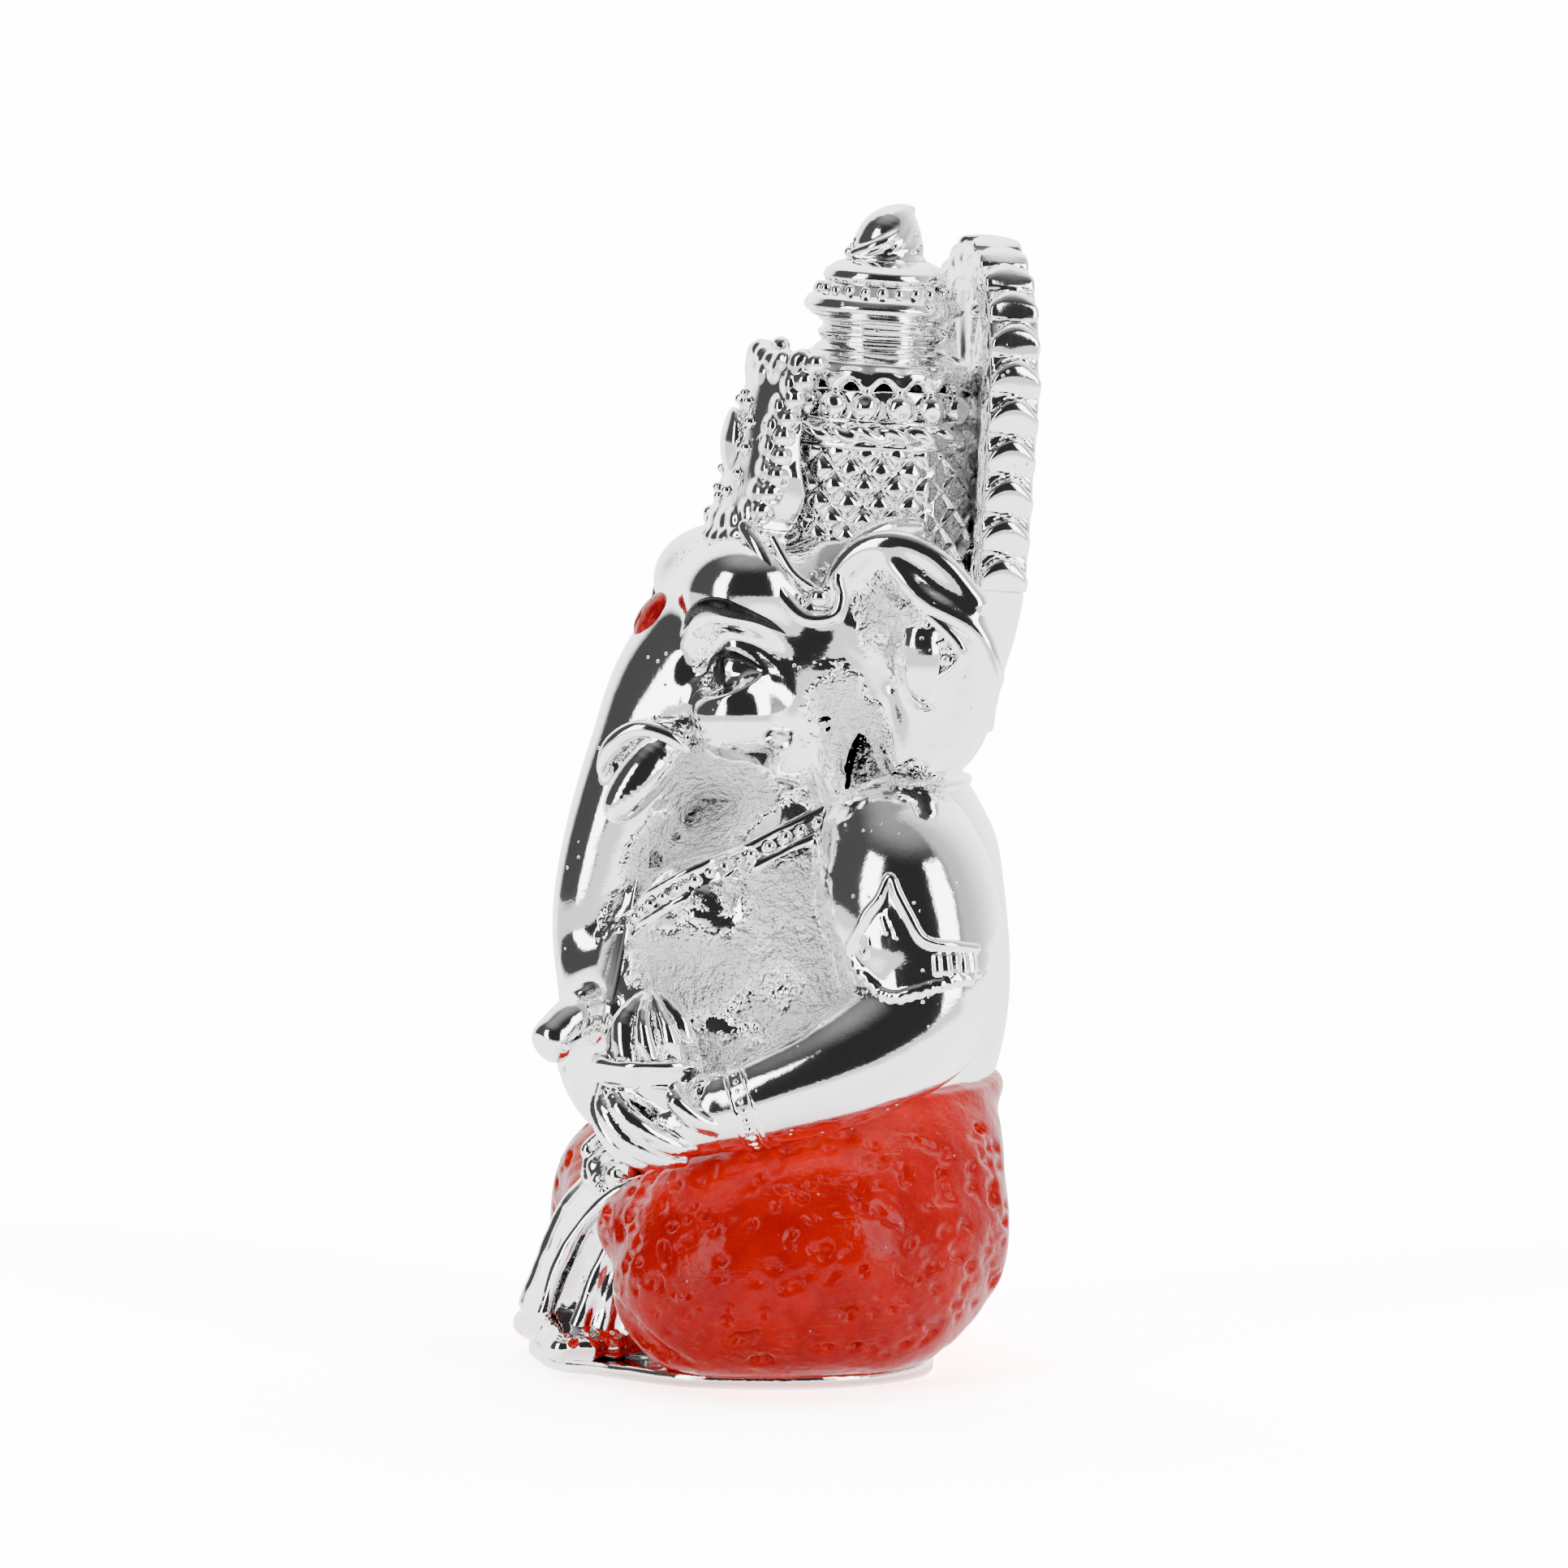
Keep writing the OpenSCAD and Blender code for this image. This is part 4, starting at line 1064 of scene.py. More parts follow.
zigzag = Clay((-7.6, -7.6, 19.8), (7.6, 7.6, 22.6), 0.14)
for i in range(24):
    turn = 2 * math.pi * i / 24
    zigzag.add(ball((5.75 * math.cos(turn), 5.75 * math.sin(turn), 21.15), (0.52, 0.52, 0.66),
        (0, rng.uniform(-30, 30), 0)), 0.2)
zigzag.roughen(0.6, 0.09, 53)
one_piece("crown_beads_skin", zigzag, SILVER, ["crown_beads"], CROWN, 0.25)
tier("crown_cap", [(4.7, 21.5), (5.3, 21.8), (5.55, 22.3), (5.3, 22.9), (4.6, 23.4), (3.4, 23.9)],
    rough=(1.8, 0.06))

finial = Clay((-4.6, -5.4, 23), (4.6, 4.8, 29.6), 0.13)
finial.add(turned([(3.2, 23.4), (3.45, 23.9), (3.2, 24.3)]))
finial.add(limb([[0, 0, 24.6, 3.15], [0, 0.2, 25.8, 2.7], [0, 0.7, 27, 1.8], [0, 1.3, 27.9, 0.9],
    [0, 1.8, 28.2, 0.5]]), 0.2)
for side in (1, -1):
    petal = [[side * 1.2, -3.1, 24.3, 0.5], [side * 2.7, -1.6, 25.2, 0.55], [side * 2.4, 0.3, 26.4, 0.45],
        [side * 0.9, 1.2, 27.7, 0.3]]
    finial.add(limb(petal), 0.25)
    finial.carve(limb([[side * 3.5, -1.0, 24.2, 0.2], [side * 3.1, 0.9, 25.1, 0.28],
        [side * 1.8, 2.1, 26.3, 0.2]]), 0.3)
for k in range(9):
    t = k / 8
    finial.add(ball((0, -3.25 + 3.4 * t**1.5, 24.2 + 3.9 * t**0.8), 0.3), 0.08)
finial.roughen(1.4, 0.06, 57)
one_piece("crown_finial_skin", finial, SILVER, ["crown_finial"], CROWN)

# Front plaque: a leaf on a cone, beaded on its edge, with a border of half-round petals
LEAF_HALF = [(0, -1.2), (3.4, -1.0), (6.6, 0.4), (7.8, 5), (7.3, 9.6), (7.6, 13), (8.2, 15.6),
    (6.4, 15.4), (3.4, 15.2), (0, 15.8)]
LEAF = closed_curve(LEAF_HALF + [(-x, z) for x, z in LEAF_HALF[-2:0:-1]])


def plaque_radius(z):
    return 14.1 - 0.19 * z


def on_plaque(x, z, out=0.0):
    r = plaque_radius(z) + out
    return np.array([x * r / plaque_radius(z), -math.sqrt(max(r * r - x * x, 1)), z])


def plaque_wall(clay, pad):
    cut, (x, y, z) = clay.block((-14, -17, -4), (14, 0, 19))
    r = np.hypot(x, y) + 0 * z
    inner = 10.2 + 0.8 * np.clip(1 - np.abs(z - 6) / 8, 0, 1)
    wall = np.maximum(r - plaque_radius(z), inner - r)
    leaf = Outline(LEAF)(x + 0 * z, z + 0 * x) + 0 * y
    return cut, (-melt(-wall, -leaf, 0.7)).astype(np.float32)


plaque = Clay((-12.5, -16.5, -3), (12.5, -1.5, 18), 0.16)
plaque.add(plaque_wall)
PLAQUE_NOTCH = [[8.6, -6.8, 14.4, 0.7], [7.6, -8.2, 12.4, 0.9], [7.2, -9.4, 9, 0.6]]
for side in (1, -1):
    plaque.carve(limb(on_side(PLAQUE_NOTCH, side)), 0.3)
middle = LEAF.mean(0)
loop = np.vstack([LEAF, LEAF[:1]])
length = np.concatenate([[0], np.cumsum(np.linalg.norm(np.diff(loop, axis=0), axis=1))])


def in_from_edge(t, inward, out):
    """A place on the plaque at length t along the leaf's edge, moved in towards its middle."""
    x, z = np.interp(t, length, loop[:, 0]), np.interp(t, length, loop[:, 1])
    towards = (middle - (x, z)) / np.linalg.norm(middle - (x, z))
    return on_plaque(x + inward * towards[0], z + inward * towards[1], out)


for t in np.arange(0, length[-1] - 0.6, 1.7):
    plaque.add(ball(in_from_edge(t, 0.3, -0.4), 0.9), 0.45)
for t in np.arange(0, length[-1] - 0.8, 2.3):
    plaque.add(ball(in_from_edge(t, 1.7, -0.2), (1.05, 0.5, 1.05)), 0.4)
plaque.add(ball(on_plaque(0, 7.4, 0.1), (2.0, 0.9, 3.1)), 0.3)
for k in range(12):
    turn = 2 * math.pi * k / 12
    plaque.add(ball(on_plaque(3.4 * math.sin(turn), 7.2 + 4.5 * math.cos(turn), 0.1), 0.5), 0.15)
plaque.roughen(1.6, 0.1, 61)
one_piece("crown_plaque_skin", plaque, SILVER, ["crown_plaque"], CROWN, 0.1)

# ---- halo, in its own frame: y from the rim's front face, leaning back ----

HALO_FOOT, HALO_WAIST, HALO_SPRING, HALO_HALF, HALO_FOOT_HALF = 55, 68, 83.6, 14.2, 11
RIM_DEPTH, RIM_WIDTH, PANEL_DEPTH = 4.4, 3.4, 2.2
HALO = tilted(4, (0, 13.6, HALO_FOOT), (0, 0, HALO_FOOT))
RAYS = 11
RAY_PITCH = (HALO_SPRING - HALO_WAIST + HALO_HALF * math.pi / 2) / RAYS


def halo_places(x, y, z):
    """Distance outside the halo's edge, way up along the edge, and place across the rim from -1 to 1."""
    half = np.interp(z, (HALO_FOOT - 3, HALO_FOOT, HALO_WAIST), (7.5, HALO_FOOT_HALF, HALO_HALF))
    over = np.maximum(z - HALO_SPRING, 0)
    edge = np.where(z > HALO_SPRING, np.hypot(x, over) - HALO_HALF, np.abs(x) - half)
    edge = np.maximum(edge, HALO_FOOT - z)
    turn = np.arctan2(over, np.maximum(np.abs(x), 1e-3))
    along = np.where(z > HALO_SPRING, HALO_SPRING - HALO_WAIST + HALO_HALF * turn, z - HALO_WAIST)
    edge, along, across = np.broadcast_arrays(edge, along, (y - RIM_DEPTH / 2) / (RIM_DEPTH / 2))
    return edge, along, across


def ray_relief(along, across):
    """Overlapping rays: each is round above and square-cut below, with a fine step round its top."""
    f = (-along / RAY_PITCH) % 1
    start = 0.1 + 0.5 * np.clip(np.abs(across), 0, 1) ** 2
    t = np.clip((f - start) / (1 - start), 0, 1)
    face = 0.35 + 0.65 * np.sin(math.pi * t**0.65)
    band = 0.22 * np.exp(-(((f - start + 0.1) / 0.05) ** 2))
    relief = np.where(f > start, face, band) * (1 - 0.25 * across**2)
    return relief * (along > 0.2)


def halo_rim_form(clay, pad):
    cut, (x, y, z) = clay.whole()
    edge, along, across = halo_places(x, y, z)
    depth = (np.abs(across) - 1) * RIM_DEPTH / 2
    taper = np.clip((HALO_WAIST - 1 - z) / 8, 0, 1) * 1.1
    outer = -melt(-(edge + 0.5), -(depth + taper), 1.0)
    front = 0.35 * np.abs(np.sin(math.pi * along / RAY_PITCH)) * (across < 0) * (along > 0) * np.exp(-((edge + 1.9) / 1.0) ** 2)
    return cut, np.maximum(outer - front, -(edge + RIM_WIDTH)).astype(np.float32)


def halo_rays_form(clay, pad):
    cut, (x, y, z) = clay.whole()
    edge, along, across = halo_places(x, y, z)
    depth = (np.abs(across) - 1) * RIM_DEPTH / 2
    shell = -melt(-(edge + 0.45 - 0.85 * ray_relief(along, across)), -depth, 0.5)
    return cut, np.maximum(shell, np.maximum(-(edge + 1.2), 0.2 - along)).astype(np.float32)


def halo_plate_form(clay, pad):
    cut, (x, y, z) = clay.whole()
    edge, along, across = halo_places(x, y, z)
    depth = np.abs(y - RIM_DEPTH / 2) - PANEL_DEPTH / 2
    spokes = 0.25 * np.cos(14 * np.arctan2(x, z - 80 + 0 * y)) * np.clip((np.hypot(x, z - 80) - 5) / 3, 0, 1)
    return cut, np.maximum(edge + RIM_WIDTH - 0.4, depth - spokes * (y < RIM_DEPTH / 2)).astype(np.float32)


for node, form, cell, rough, frost in (
    ("halo_rim", halo_rim_form, 0.2, 0.07, 0.1), ("halo_rays", halo_rays_form, 0.16, 0.06,
        0.0), ("halo_plate", halo_plate_form, 0.24, 0.06, 0.2),
):
    clay = Clay((-16.4, -1.4, 53.5), (16.4, 5.8, 100), cell)
    clay.add(form)
    clay.roughen(1.8, rough, 71)
    one_piece(node + "_skin", clay, SILVER, [node], HALO, frost)

# ---- painted wrap: two thighs, the seat and the rolled waist, one lump cut into its castings ----

BASE = 1.0
THIGH = [
    [14, -9.6, 8.6, 8.2], [15.4, -6, 9.6, 9.8], [15.8, -1, 10.6, 10.8], [14.4, 4, 11.2, 11.2], [11.6, 8,
        12.6, 10],
]
WAIST = [
    body.touch(a, 21 + 17 * math.sin(math.radians(a)) * math.tan(math.radians(10)),
        -0.2, (0, 0)) + [1.15 + 0.3 * math.sin(a / 9)]
    for a in range(0, 361, 10)
]
wrap = Clay((-28, -24, -1.5), (28, 23, 28), CELL)
wrap.add(stack([
    [-1, 0, 15, 11], [4, 0, 16.6, 13.9], [9, 0.8, 18.2, 16.4], [15, 1.8, 19, 17.6], [21, 1.8, 19.2,
        17.8], [24.5, 1.4, 18.6, 17.8],
]), 0, "dhoti_seat")
wrap.carve(half_space((0, -3, 0), (0, 1, 0)), 2)
for side in (1, -1):
    wrap.add(limb(on_side(THIGH, side)), 2.4, "left_thigh" if side > 0 else "right_thigh")
    lap = [[8, -14, 12.4, 4], [13, -9.6, 14, 5.4], [15.4, -1, 16.4, 6], [14.6, 7, 18, 6], [10, 11.6, 18.6, 6]]
    wrap.add(limb(on_side(lap, side)), 2.4)
    if side < 0:
        wrap.add(ball((-14, -9.8, 13.2), (7.6, 7.2, 7.2)), 2)
    folds = [[22.5, -8, 12.5, 0.5], [23.4, -4, 11, 0.7], [24.2, 0, 8.4, 0.5]]
    wrap.add(limb(on_side(folds, side)), 1.2)
    for k in range(5):
        crease = [[9 + 2 * k, -19.2 + 0.5 * k, 10 - k, 0.3],
            [13 + 1.6 * k, -17.8 + k, 6.4 - 0.8 * k, 0.45], [16 + 1.2 * k, -15 + k, 3.6 - 0.4 * k, 0.3]]
        wrap.carve(limb(on_side(crease, side)), 0.7)
wrap.keep(half_space((0, 18.4, 20), (0, 1, -0.12)), 1.4)
wrap.add(limb(WAIST), 0.6, "waist_band")
for _ in range(420):
    side = 1 if rng.random() < 0.6 else -1
    angle, z = rng.uniform(-88, 72), rng.uniform(2.5, 22)
    at = wrap.touch(angle if side > 0 else 180 - angle, z, 0.2, (side * 8, -2))
    r = rng.uniform(0.3, 0.55)
    long, tip = rng.uniform(1.1, 2.2), rng.uniform(-50, 50)
    wrap.carve(ball(at, (r, r * long, r * 0.8), (tip, 0, rng.uniform(0, 90))), 0.45)
wrap.roughen(3.2, 0.13, 81)
wrap.roughen(1.4, 0.05, 82)
wrap.keep(above(BASE), 0.5)
castings(wrap, RED)

# ---- base plate: a thin silver edge under the wrap ----

FOOTPRINT_HALF = [(0, -21.6), (5.4, -21.2), (8.6, -18.6), (13, -15.6), (17.6, -11.6), (20.6, -4), (20, 4),
    (15, 10), (7, 12), (0, 12.2)]
FOOTPRINT = closed_curve(FOOTPRINT_HALF + [(-x, y) for x, y in FOOTPRINT_HALF[-2:0:-1]])
base = Clay((-26, -26, -1), (26, 22, 3), 0.25)
base.add(panel(Outline(FOOTPRINT), lambda x, y, z: (x, y, z - BASE / 2 - 0.1), BASE / 2 + 0.1, 0.3))
base.roughen(3, 0.06, 91)
base.keep(above(0))
one_piece("base_plate_skin", base, SILVER, ["base_plate"])

# ---- sash, knot and feet ----

SASH_SIDE = Outline([(-10, 1), (-10, 17), (-13.2, 17), (-15.6, 15.8), (-18.6, 13), (-20.8, 8.6),
    (-22.2, 4.6), (-21.8, 2.2), (-20.4, 1)])
sash = Clay((-9.5, -26, -0.5), (9.5, -9, 19), 0.2)


def sash_form(clay, pad):
    cut, (x, y, z) = clay.whole()
    side = SASH_SIDE(y + 0 * z, z + 0 * y)
    half = 2.6 + 0.5 * np.clip(y + 22, 0, 10) + 1.4 * np.clip((6 - z) / 6, 0,
        1) - 0.9 * np.clip(-side / 2.6, 0, 1)
    return cut, (-melt(half - np.abs(x), -side + 0 * x, 0.7)).astype(np.float32)


sash.add(sash_form)
for side in (1, -1):
    rim = [[6.6, -13.4, 16.4, 0.6], [5.6, -15.8, 15.2, 0.7], [4.4, -18.4, 12.6, 0.7],
        [3.4, -20.4, 8.6, 0.7], [3.4, -21.6, 4.8, 0.8]]
    sash.add(limb(on_side(rim, side)), 0.6)
    for k in range(3):
        fold = [[7.3 - 0.3 * k, -12.6 - 0.9 * k, 15.4, 0.4], [6.9 - 0.5 * k, -13.8 - 1.5 * k, 9.6, 0.8],
            [6.6 - 0.5 * k, -14.8 - 2.2 * k, 3.4, 0.9]]
        sash.add(limb(on_side(fold, side)), 1.1)
sash.roughen(2.2, 0.13, 95)
sash.roughen(0.9, 0.04, 96)
sash.keep(above(BASE - 0.3), 0.2)
one_piece("front_sash_skin", sash, SILVER, ["front_sash"])

knot = Clay((-6, -19, 12), (6, -10, 21), 0.16)
knot.add(ball((0, -14.6, 16.8), (4.2, 2.4, 1.9)))
for _ in range(9):
    rng.uniform(0, 360)  # not used, but it keeps the later draws in their order
    x, z = rng.uniform(-3.4, 3.6), rng.uniform(15.4, 18.2)
    knot.add(limb([[x, -15.2, z - 1.4, 0.4], [x + 0.5, -16.6, z, 0.55], [x - 0.2, -15.6, z + 1.4, 0.35]]),
        0.4)
knot.add(ball((4.2, -14.8, 16.6), (1.6, 1.5, 1.3)), 0.5)
knot.roughen(1.0, 0.18, 97)
one_piece("sash_knot_skin", knot, SILVER, ["sash_knot"], frost=0.25)

foot = Clay((-1, -26.5, -1), (13, -8, 8), 0.18)
for toe in range(5):
    y = -20.9 + 2.4 * toe
    foot.add(limb([[1, -19 + 1.6 * toe, 3, 2.3], [5, y + 0.4, 2.7, 1.7],
        [8.2 - 0.22 * toe * toe, y, 2.3, 1.3 - 0.05 * toe]]), 1.4)
    foot.carve(limb([[8.3 - 0.22 * toe * toe, y - 0.5, 3.6, 0.22], [8.9 - 0.22 * toe * toe, y, 3.4, 0.25],
        [8.3 - 0.22 * toe * toe, y + 0.5, 3.6, 0.22]]), 0.15)
foot.roughen(1.5, 0.06, 99)
foot.keep(above(BASE - 0.3), 0.2)
pair("foot", foot)

# ---- hands, bowl and sweet ----

BOWL = (15.5, -14.4, 24.3)
hand = Clay((6, -25, 16), (26, -4, 33), 0.16)
hand.add(limb([[19.0, -7.4, 24.2, 3.2], [18.2, -11, 23.2, 3.0], [16.6, -13.4, 22.6, 2.8],
    [14.6, -15, 22.6, 2.4]]))
FINGERS = [
    [[17.0, -17.6, 26.2, 0.7], [18.7, -18.2, 25, 0.9], [19.9, -16.4, 23, 1.0], [20.2, -13.6, 21.4, 0.9],
        [19.8, -11.8, 21, 0.55]],
    [[15.2, -18.4, 26, 0.7], [16.9, -18.8, 24.2, 0.95], [18.4, -17.2, 21.8, 1.0], [19, -14.4, 20.2, 0.9],
        [18.6, -12.4, 19.8, 0.55]],
    [[13, -18.4, 25.6, 0.7], [14.4, -18.9, 23.8, 0.9], [16.2, -17.8, 21.2, 0.95], [17, -15.4, 19.8, 0.85],
        [16.6, -13.4, 19.6, 0.5]],
    [[19.6, -13.4, 26.6, 0.6], [20.8, -13.4, 25.2, 0.8], [21.2, -11.4, 23.6, 0.85], [20.8, -9, 22.8, 0.7]],
]
for rows in FINGERS:
    hand.add(limb(rows), 0.3)
hand.carve(limb([[20.8, -17.4, 22.9, 0.2], [20.6, -15.4, 21.9, 0.3]]), 0.3)
hand.roughen(1.6, 0.07, 101)
one_piece("left_hand_skin", hand, SILVER, ["left_hand"], frost=0.1)

raised = Clay((12, -16, 28), (27, -3, 50), 0.18)
PALM = np.array([19, -9.6, 37])
raised.add(ball(PALM + (0, 0.2, -2.6), (2.9, 2.3, 3.2)))
raised.add(ball(PALM + (0, -0.4, 1.4), (3.9, 1.7, 3.4)), 1.0)
for k, long in ((-1.5, 7.6), (-0.5, 8.8), (0.5, 8.6), (1.5, 7.2)):
    tip = PALM + (1.9 * k, -0.9, long)
    raised.add(limb([[*(PALM + (1.7 * k, -0.4, 2)), 1.15], [*(PALM + (1.85 * k, -0.5, 5)), 1.05],
        [*tip, 0.8]]), 0.3)
raised.add(limb([[*(PALM + (-2.6, -0.8, -1)), 1.3], [*(PALM + (-4.6, -1.8, 1.2)), 1.15],
    [*(PALM + (-5, -2.2, 3.6)), 0.85]]), 0.5)
raised.carve(ball(PALM + (0.2, -3.6, 1), (2.0, 2.4, 1.9)), 0.9)
for k in (-0.8, 0.6):
    raised.carve(limb([[*(PALM + (-2.2, -2.2, k + 1)), 0.15], [*(PALM + (0.4, -1.7, k)), 0.2],
        [*(PALM + (2.4, -2.0, k + 1.2)), 0.15]]), 0.2)
raised.roughen(1.6, 0.06, 103)
one_piece("right_hand_skin", raised, SILVER, ["right_hand"], side=-1)

bowl_local = Clay((-7, -7, -2.4), (7, 7, 6), 0.15)
bowl_local.add(turned([(2.2, -0.9), (3.4, -0.4), (4.0, 0.8), (4.7, 2.2), (5.0, 3.2), (4.9, 4.2)]))
bowl_local.add(torus((0, 0, 3.9), 4.8, 0.42, 1.0), 0.3)
bowl_local.carve(turned([(1.5, 1.2), (3.0, 1.6), (4.3, 3.2), (4.7, 5.4)]), 0.2)
bowl_local.add(torus((0, 0, 2.2), 4.65, 0.22), 0.15)
bowl_local.roughen(1.4, 0.2, 105)
TIPPED = (np.eye(3), np.array(BOWL))
one_piece("sweet_bowl_skin", bowl_local, SILVER, ["sweet_bowl"], TIPPED, 0.05)

PLEATS = 8


def pleats(turn, r, z):
    wave = np.abs(np.cos(PLEATS / 2 * turn + 0.3 * z + 0.5 * np.sin(2 * turn)))
    return (0.9 * wave - 0.3) * np.clip((10.4 - z) / 2.5, 0, 1) * np.clip((z - 3.4) / 0.8, 0, 1)


sweets = Clay((-6.6, -6.6, -0.4), (6.6, 6.6, 12), 0.15)
sweets.add(turned([(2.6, 0.6), (3.6, 2.6), (3.6, 4.2), (3.55, 5.8), (3.2, 7.2), (2.5, 8.4), (1.6, 9.3),
    (0.8, 9.8), (0.1, 10.0)], pleats))
for i in range(7):
    turn = 2 * math.pi * i / 7
    sweets.add(ball((4.1 * math.cos(turn), 4.1 * math.sin(turn), 3.9), 0.75), 0.3)
sweets.roughen(1.8, 0.16, 107)
one_piece("sweets_skin", sweets, SILVER, ["sweets"], TIPPED)

# ---- bangles and armlets ----


def along(rows, t):
    """A row at a share of the way along a smooth path."""
    path = smooth(rows, 12)
    return np.array([np.interp(t, np.linspace(0, 1, len(path)), path[:, i]) for i in range(path.shape[1])])


def ring_round(rows, t, out, thick, beads_in_ring=0):
    """A ring of small balls, or a plain tube, square across a limb's path."""
    at, ahead = along(rows, t), along(rows, min(t + 0.02, 1))[:3] - along(rows, max(t - 0.02, 0))[:3]
    ahead /= np.linalg.norm(ahead)
    u = np.cross(ahead, (0, 0, 1))
    u /= np.linalg.norm(u)
    v = np.cross(ahead, u)
    count = beads_in_ring or 28
    turns = np.linspace(0, 2 * math.pi, count, endpoint=False)
    return [[*(at[:3] + (at[3] + out) * (math.cos(a) * u + math.sin(a) * v)), thick] for a in turns]


for side, word, rows in ((1, "left", ARM), (-1, "right", RAISED_ARM)):
    spots = ring_round(rows, 0.93, 0, 0.5)
    bangles = small_clay(spots, 1.8, 0.16)
    for t, thick in ((0.88, 0.3), (0.94, 0.34)):
        loop = ring_round(rows, t, -0.1, thick)
        bangles.add(limb(loop + loop[:1], 2))
    for bead in ring_round(rows, 0.91, -0.1, 0.36, 26):
        bangles.add(ball(bead[:3], bead[3]), 0.1)
    bangles.roughen(0.9, 0.09, 109)
    one_piece(word + "_bangles_skin", bangles, SILVER, [word + "_bangles"],
        frost=0.2, side=side)

# Armlet: a leaf-shaped plate on the upper arm, with a wavy raised border
ARMLET_TOP = [(-45, 38.4), (-36, 40), (-30, 41.4), (-22, 42.6), (-14, 44.4), (-8, 43), (0, 41), (6, 39.4),
    (14, 38.8), (24, 38.6), (38, 38.2)]
ARMLET_LOW = [(-45, 37.6), (-38, 36.6), (-30, 35.8), (-20, 34.8), (-10, 34.4), (0, 34.8), (12, 35.4),
    (24, 35.8), (38, 36)]
ARM_CENTRE = (16.4, 6.4)
solo = Clay((6, -4, 28), (27, 20, 48), 0.25)
solo.add(limb(ARM))


def on_arm(rows, radius, lift=0.0):
    return [solo.touch(a, z, lift, ARM_CENTRE, 14) + [radius] for a, z in rows]


armlet = Clay((10, -5, 31), (27.5, 21, 48), 0.17)
top, low = on_arm(ARMLET_TOP, 0.5, 0.15), on_arm(ARMLET_LOW, 0.42, 0.12)
armlet.add(limb(top))
armlet.add(limb(low), 0.2)
armlet.add(limb(on_arm([(-45, 38), (-46, 37.6)], 0.5, 0.1)), 0.2)
for a in np.arange(-40, 38, 3.2):
    z0, z1 = np.interp(a, *zip(*ARMLET_LOW)), np.interp(a, *zip(*ARMLET_TOP))
    armlet.add(limb(on_arm([(a, z0 + 0.2), (a, (z0 + z1) / 2), (a, z1 - 0.2)], 0.75, -0.62)), 0.3)
for a in np.arange(-40, 37, 5.5):
    z0 = np.interp(a, *zip(*ARMLET_LOW))
    armlet.add(ball(on_arm([(a, z0 - 0.35)], 1, 0.05)[0][:3], 0.55), 0.25)
for a in (14, 19, 24, 29, 34):
    armlet.add(limb(on_arm([(a, 36.4), (a, 37.6)], 0.45, 0.1)), 0.15)
ring_at = [(-31 + 3 * math.cos(t), 38.6 + 0.9 * math.sin(t)) for t in np.linspace(0, 2 * math.pi, 9)]
armlet.add(limb(on_arm(ring_at, 0.24, 0.08)), 0.1)
for a, z in ((-17, 40.4), (-13.6, 40.8), (-10, 40)):
    armlet.add(limb(on_arm([(a - 1.5, z + 0.6), (a + 1.5, z - 0.6)], 0.22, 0.08)), 0.1)
armlet.roughen(1.6, 0.07, 113)
pair("armlet", armlet)

# ---- finish: kept CAD castings, stage, light ----

slots = {s["node"]: s["material_slot"] for s in frame["record"]["subparts"]}
for name, thing in frame["nodes"].items():
    thing.data.materials.clear()
    thing.data.materials.append(SLOTS[slots[name]])

CAMERA_TURN, CAMERA_RISE = math.radians(78), math.radians(6)


class Light(Paint):
    """The same node helpers, for a world or a stage material."""

    def __init__(self, owner):
        owner.use_nodes = True
        self.tree = owner.node_tree
        self.tree.nodes.clear()
        self.rays = self.node("ShaderNodeLightPath").outputs

    def box(self, value, middle, half, edge):
        """One within half of the middle, falling off over edge, all in degrees."""
        off = self.math("ABSOLUTE", self.math("SUBTRACT", value, math.radians(middle)))
        return self.ramp(off, math.radians(half - edge), math.radians(half + edge), 1.0, 0.0)

    def turn_from_camera(self, x, y):
        """The direction's turn from straight behind the object, as the camera sees it, in radians."""
        s, c = math.sin(CAMERA_TURN), math.cos(CAMERA_TURN)
        ahead = self.math("SUBTRACT", self.math("MULTIPLY", x, s), self.math("MULTIPLY", y, c))
        across = self.math("ADD", self.math("MULTIPLY", x, c), self.math("MULTIPLY", y, s))
        return self.math("ARCTAN2", across, ahead)

    def by_ray(self, seen, mirrored_in, other):
        """One value for what the camera sees, one for reflections, one for the light it gives."""
        value = self.number(self.rays["Is Glossy Ray"], other, mirrored_in)
        return self.number(self.rays["Is Camera Ray"], value, seen)

    def number(self, share, a, b):
        n = self.node("ShaderNodeMix", data_type="FLOAT")
        for i, v in ((0, share), (2, a), (3, b)):
            self.put(n.inputs[i], v)
        return n.outputs[0]


# A white studio with a dark zone and two soft boxes in it. It gives the camera a plain white background,
# reflections the zone and the boxes, and other rays half of that.
DARK_TURN = (-30, 94, 9)  # middle, half width and soft edge, in degrees
SEEN_WALL, SEEN_PAPER, LAMP = 14.0, 16.0, 8.0
world = bpy.data.worlds.new("studio")
bpy.context.scene.world = world
studio = Light(world)
towards = studio.node("ShaderNodeTexCoord").outputs["Generated"]
parts = studio.node("ShaderNodeSeparateXYZ")
studio.put(parts.inputs[0], towards)
x, y, z = parts.outputs
turn = studio.turn_from_camera(x, y)
rise = studio.math("ARCSINE", z)
dark = studio.math("MULTIPLY", studio.box(turn, *DARK_TURN), studio.box(rise, 42, 46, 5))
lamps = studio.math("MAXIMUM", studio.box(turn, -50, 11, 2), studio.box(turn, 47, 13, 2))
lamps = studio.math("MULTIPLY", lamps, studio.box(rise, 20, 26, 2))
walls = studio.ramp(studio.math("ABSOLUTE", turn), 1.3, 2.9, 0.85, 3.6)
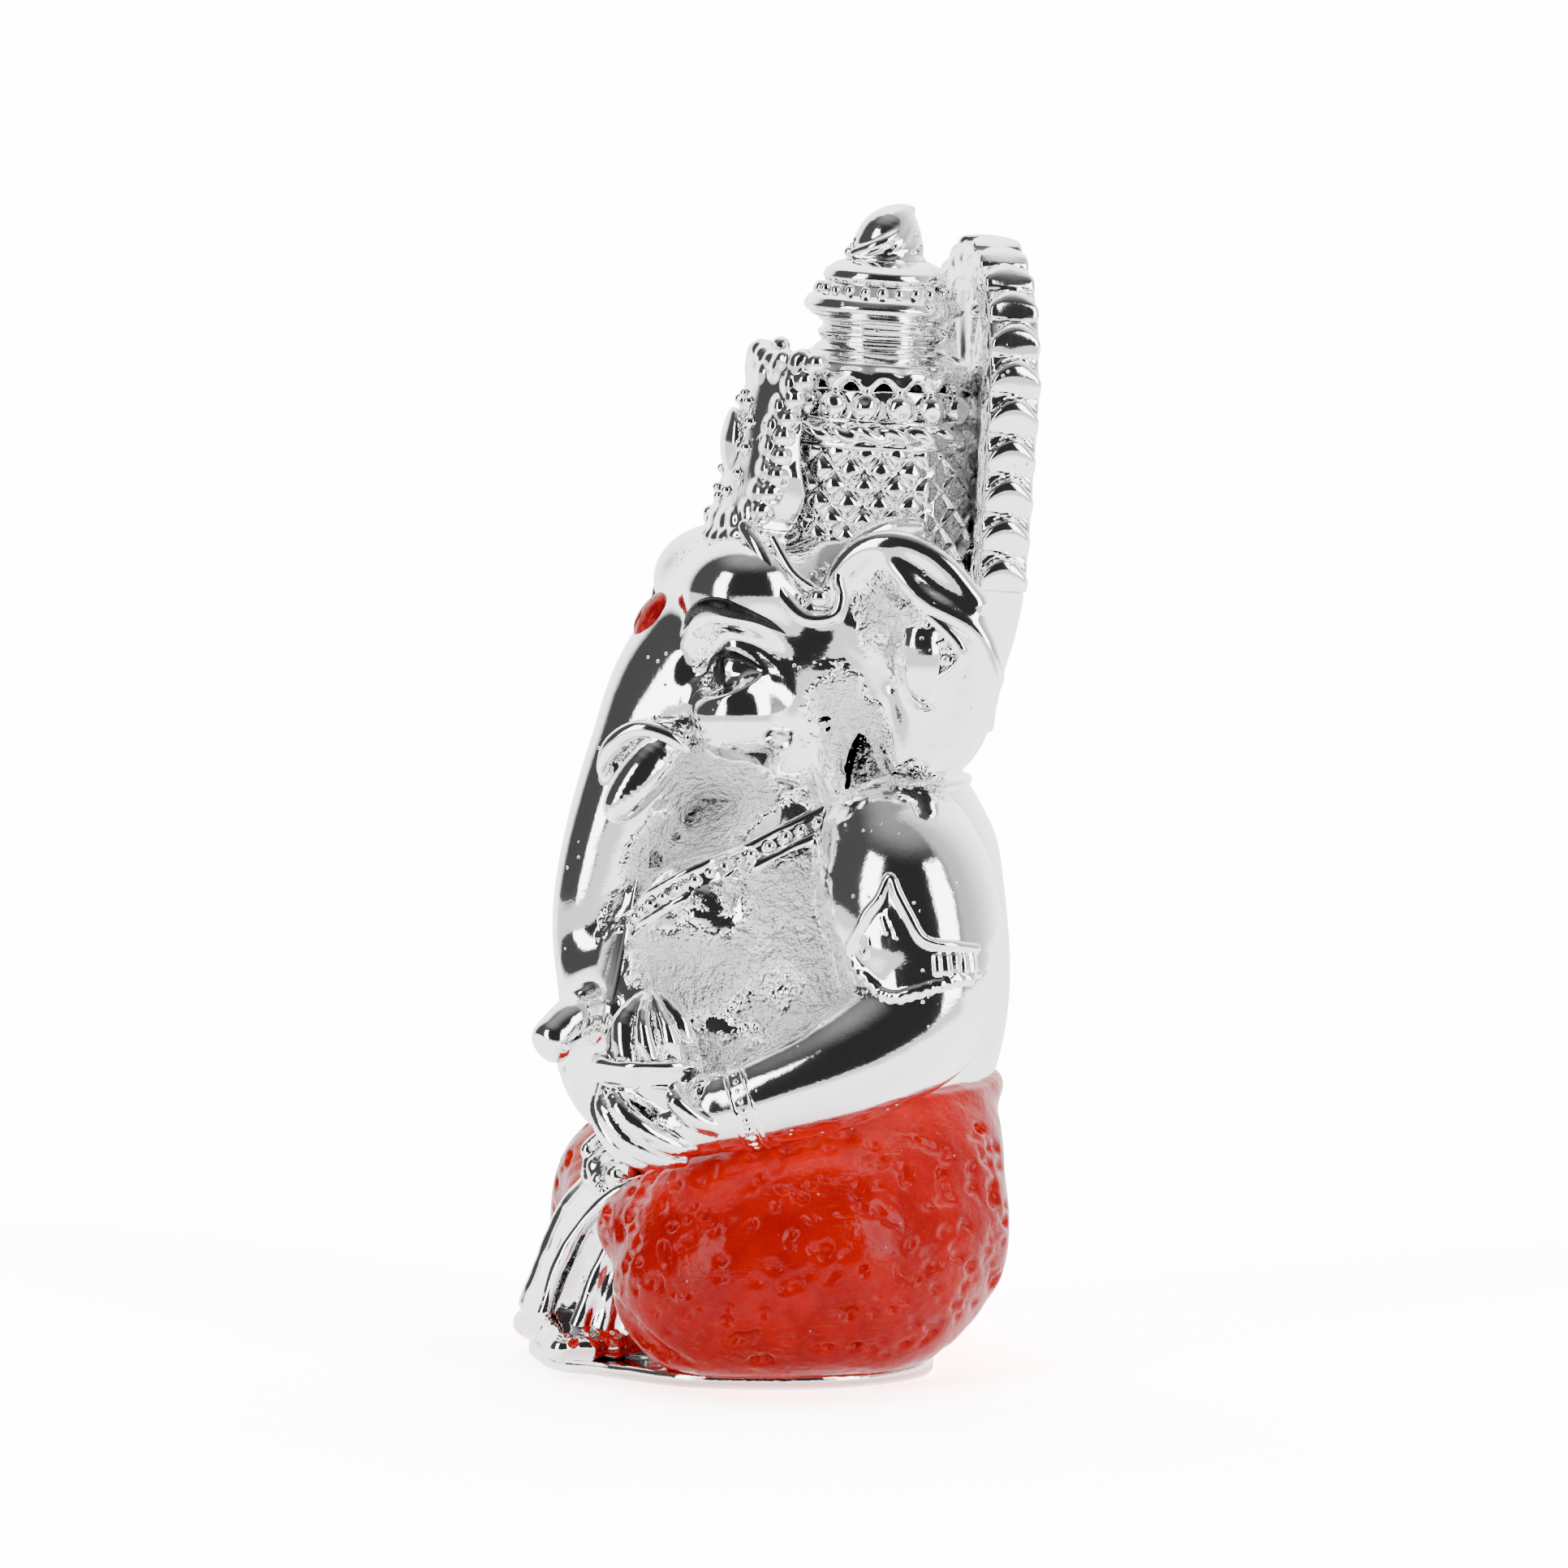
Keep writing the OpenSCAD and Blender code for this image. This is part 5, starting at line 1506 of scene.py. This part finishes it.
gap = studio.math("ADD", studio.ramp(studio.math("ABSOLUTE", turn), 0.3, 1.3, 0.03, 0.08),
    studio.ramp(rise, 0.8, 1.4, 0.0, 0.35))
room = studio.number(lamps, studio.number(dark, walls, gap), LAMP)
back = studio.node("ShaderNodeBackground", Color=(1, 1, 1, 1))
studio.put(back.inputs["Strength"], studio.by_ray(SEEN_WALL, room, studio.math("MULTIPLY", room, 0.5)))
studio.tree.links.new(back.outputs[0], studio.node("ShaderNodeOutputWorld").inputs["Surface"])

floor_mesh = bpy.data.meshes.new("floor")
REACH = 3.0
floor_mesh.from_pydata([(-REACH, -REACH, 0), (REACH, -REACH, 0), (REACH, REACH, 0), (-REACH, REACH, 0)],
    [], [(0, 1, 2, 3)])
floor = bpy.data.objects.new("floor", floor_mesh)
bpy.context.scene.collection.objects.link(floor)
floor.location.z = float(cad_lo[2]) - 2e-5
paper = bpy.data.materials.new("white_paper")
sheet = Light(paper)
place = sheet.node("ShaderNodeSeparateXYZ")
sheet.put(place.inputs[0], sheet.node("ShaderNodeTexCoord").outputs["Object"])
x, y, _ = place.outputs
turn = sheet.turn_from_camera(x, y)
# Painted shade: in reflections the paper's colour is darker away from the object, within the dark zone, in place of
# the unlit side of the studio
edge = sheet.ramp(sheet.math("SQRT", sheet.math("ADD", sheet.math("MULTIPLY", x, x),
    sheet.math("MULTIPLY", y, y))), 0.15, 0.3)
edge = sheet.math("MULTIPLY", edge, sheet.box(turn, *DARK_TURN))
reflected_paper_painted_shade = sheet.number(edge, 3.6, 1.5)
white = sheet.node("ShaderNodeBsdfDiffuse")
tone = sheet.node("ShaderNodeCombineColor")
# The colour that reflections see carries the painted shade on the paper
for i in range(3):
    sheet.put(tone.inputs[i], sheet.by_ray(SEEN_PAPER, reflected_paper_painted_shade, 0.8))
sheet.put(white.inputs["Color"], tone.outputs[0])
sheet.tree.links.new(white.outputs[0], sheet.node("ShaderNodeOutputMaterial").inputs["Surface"])
floor_mesh.materials.append(paper)

camera_data = bpy.data.cameras.new("camera")
camera = bpy.data.objects.new("camera", camera_data)
bpy.context.scene.collection.objects.link(camera)
bpy.context.scene.camera = camera
away = Vector((math.sin(CAMERA_TURN) * math.cos(CAMERA_RISE),
    -math.cos(CAMERA_TURN) * math.cos(CAMERA_RISE), math.sin(CAMERA_RISE)))
across = Vector((math.cos(CAMERA_TURN), math.sin(CAMERA_TURN), 0))
camera_data.lens, camera_data.sensor_width = 300, 36  # mm
camera_data.clip_start = 0.05
AIM_HEIGHT, AIM_ASIDE, CAMERA_AWAY = 50.2, 0.43, 1139
target = Vector((0, 0, AIM_HEIGHT * UNIT)) + across * (AIM_ASIDE * UNIT)
camera.location = target + away * (CAMERA_AWAY * UNIT)
camera.rotation_euler = (-away).to_track_quat("-Z", "Y").to_euler()
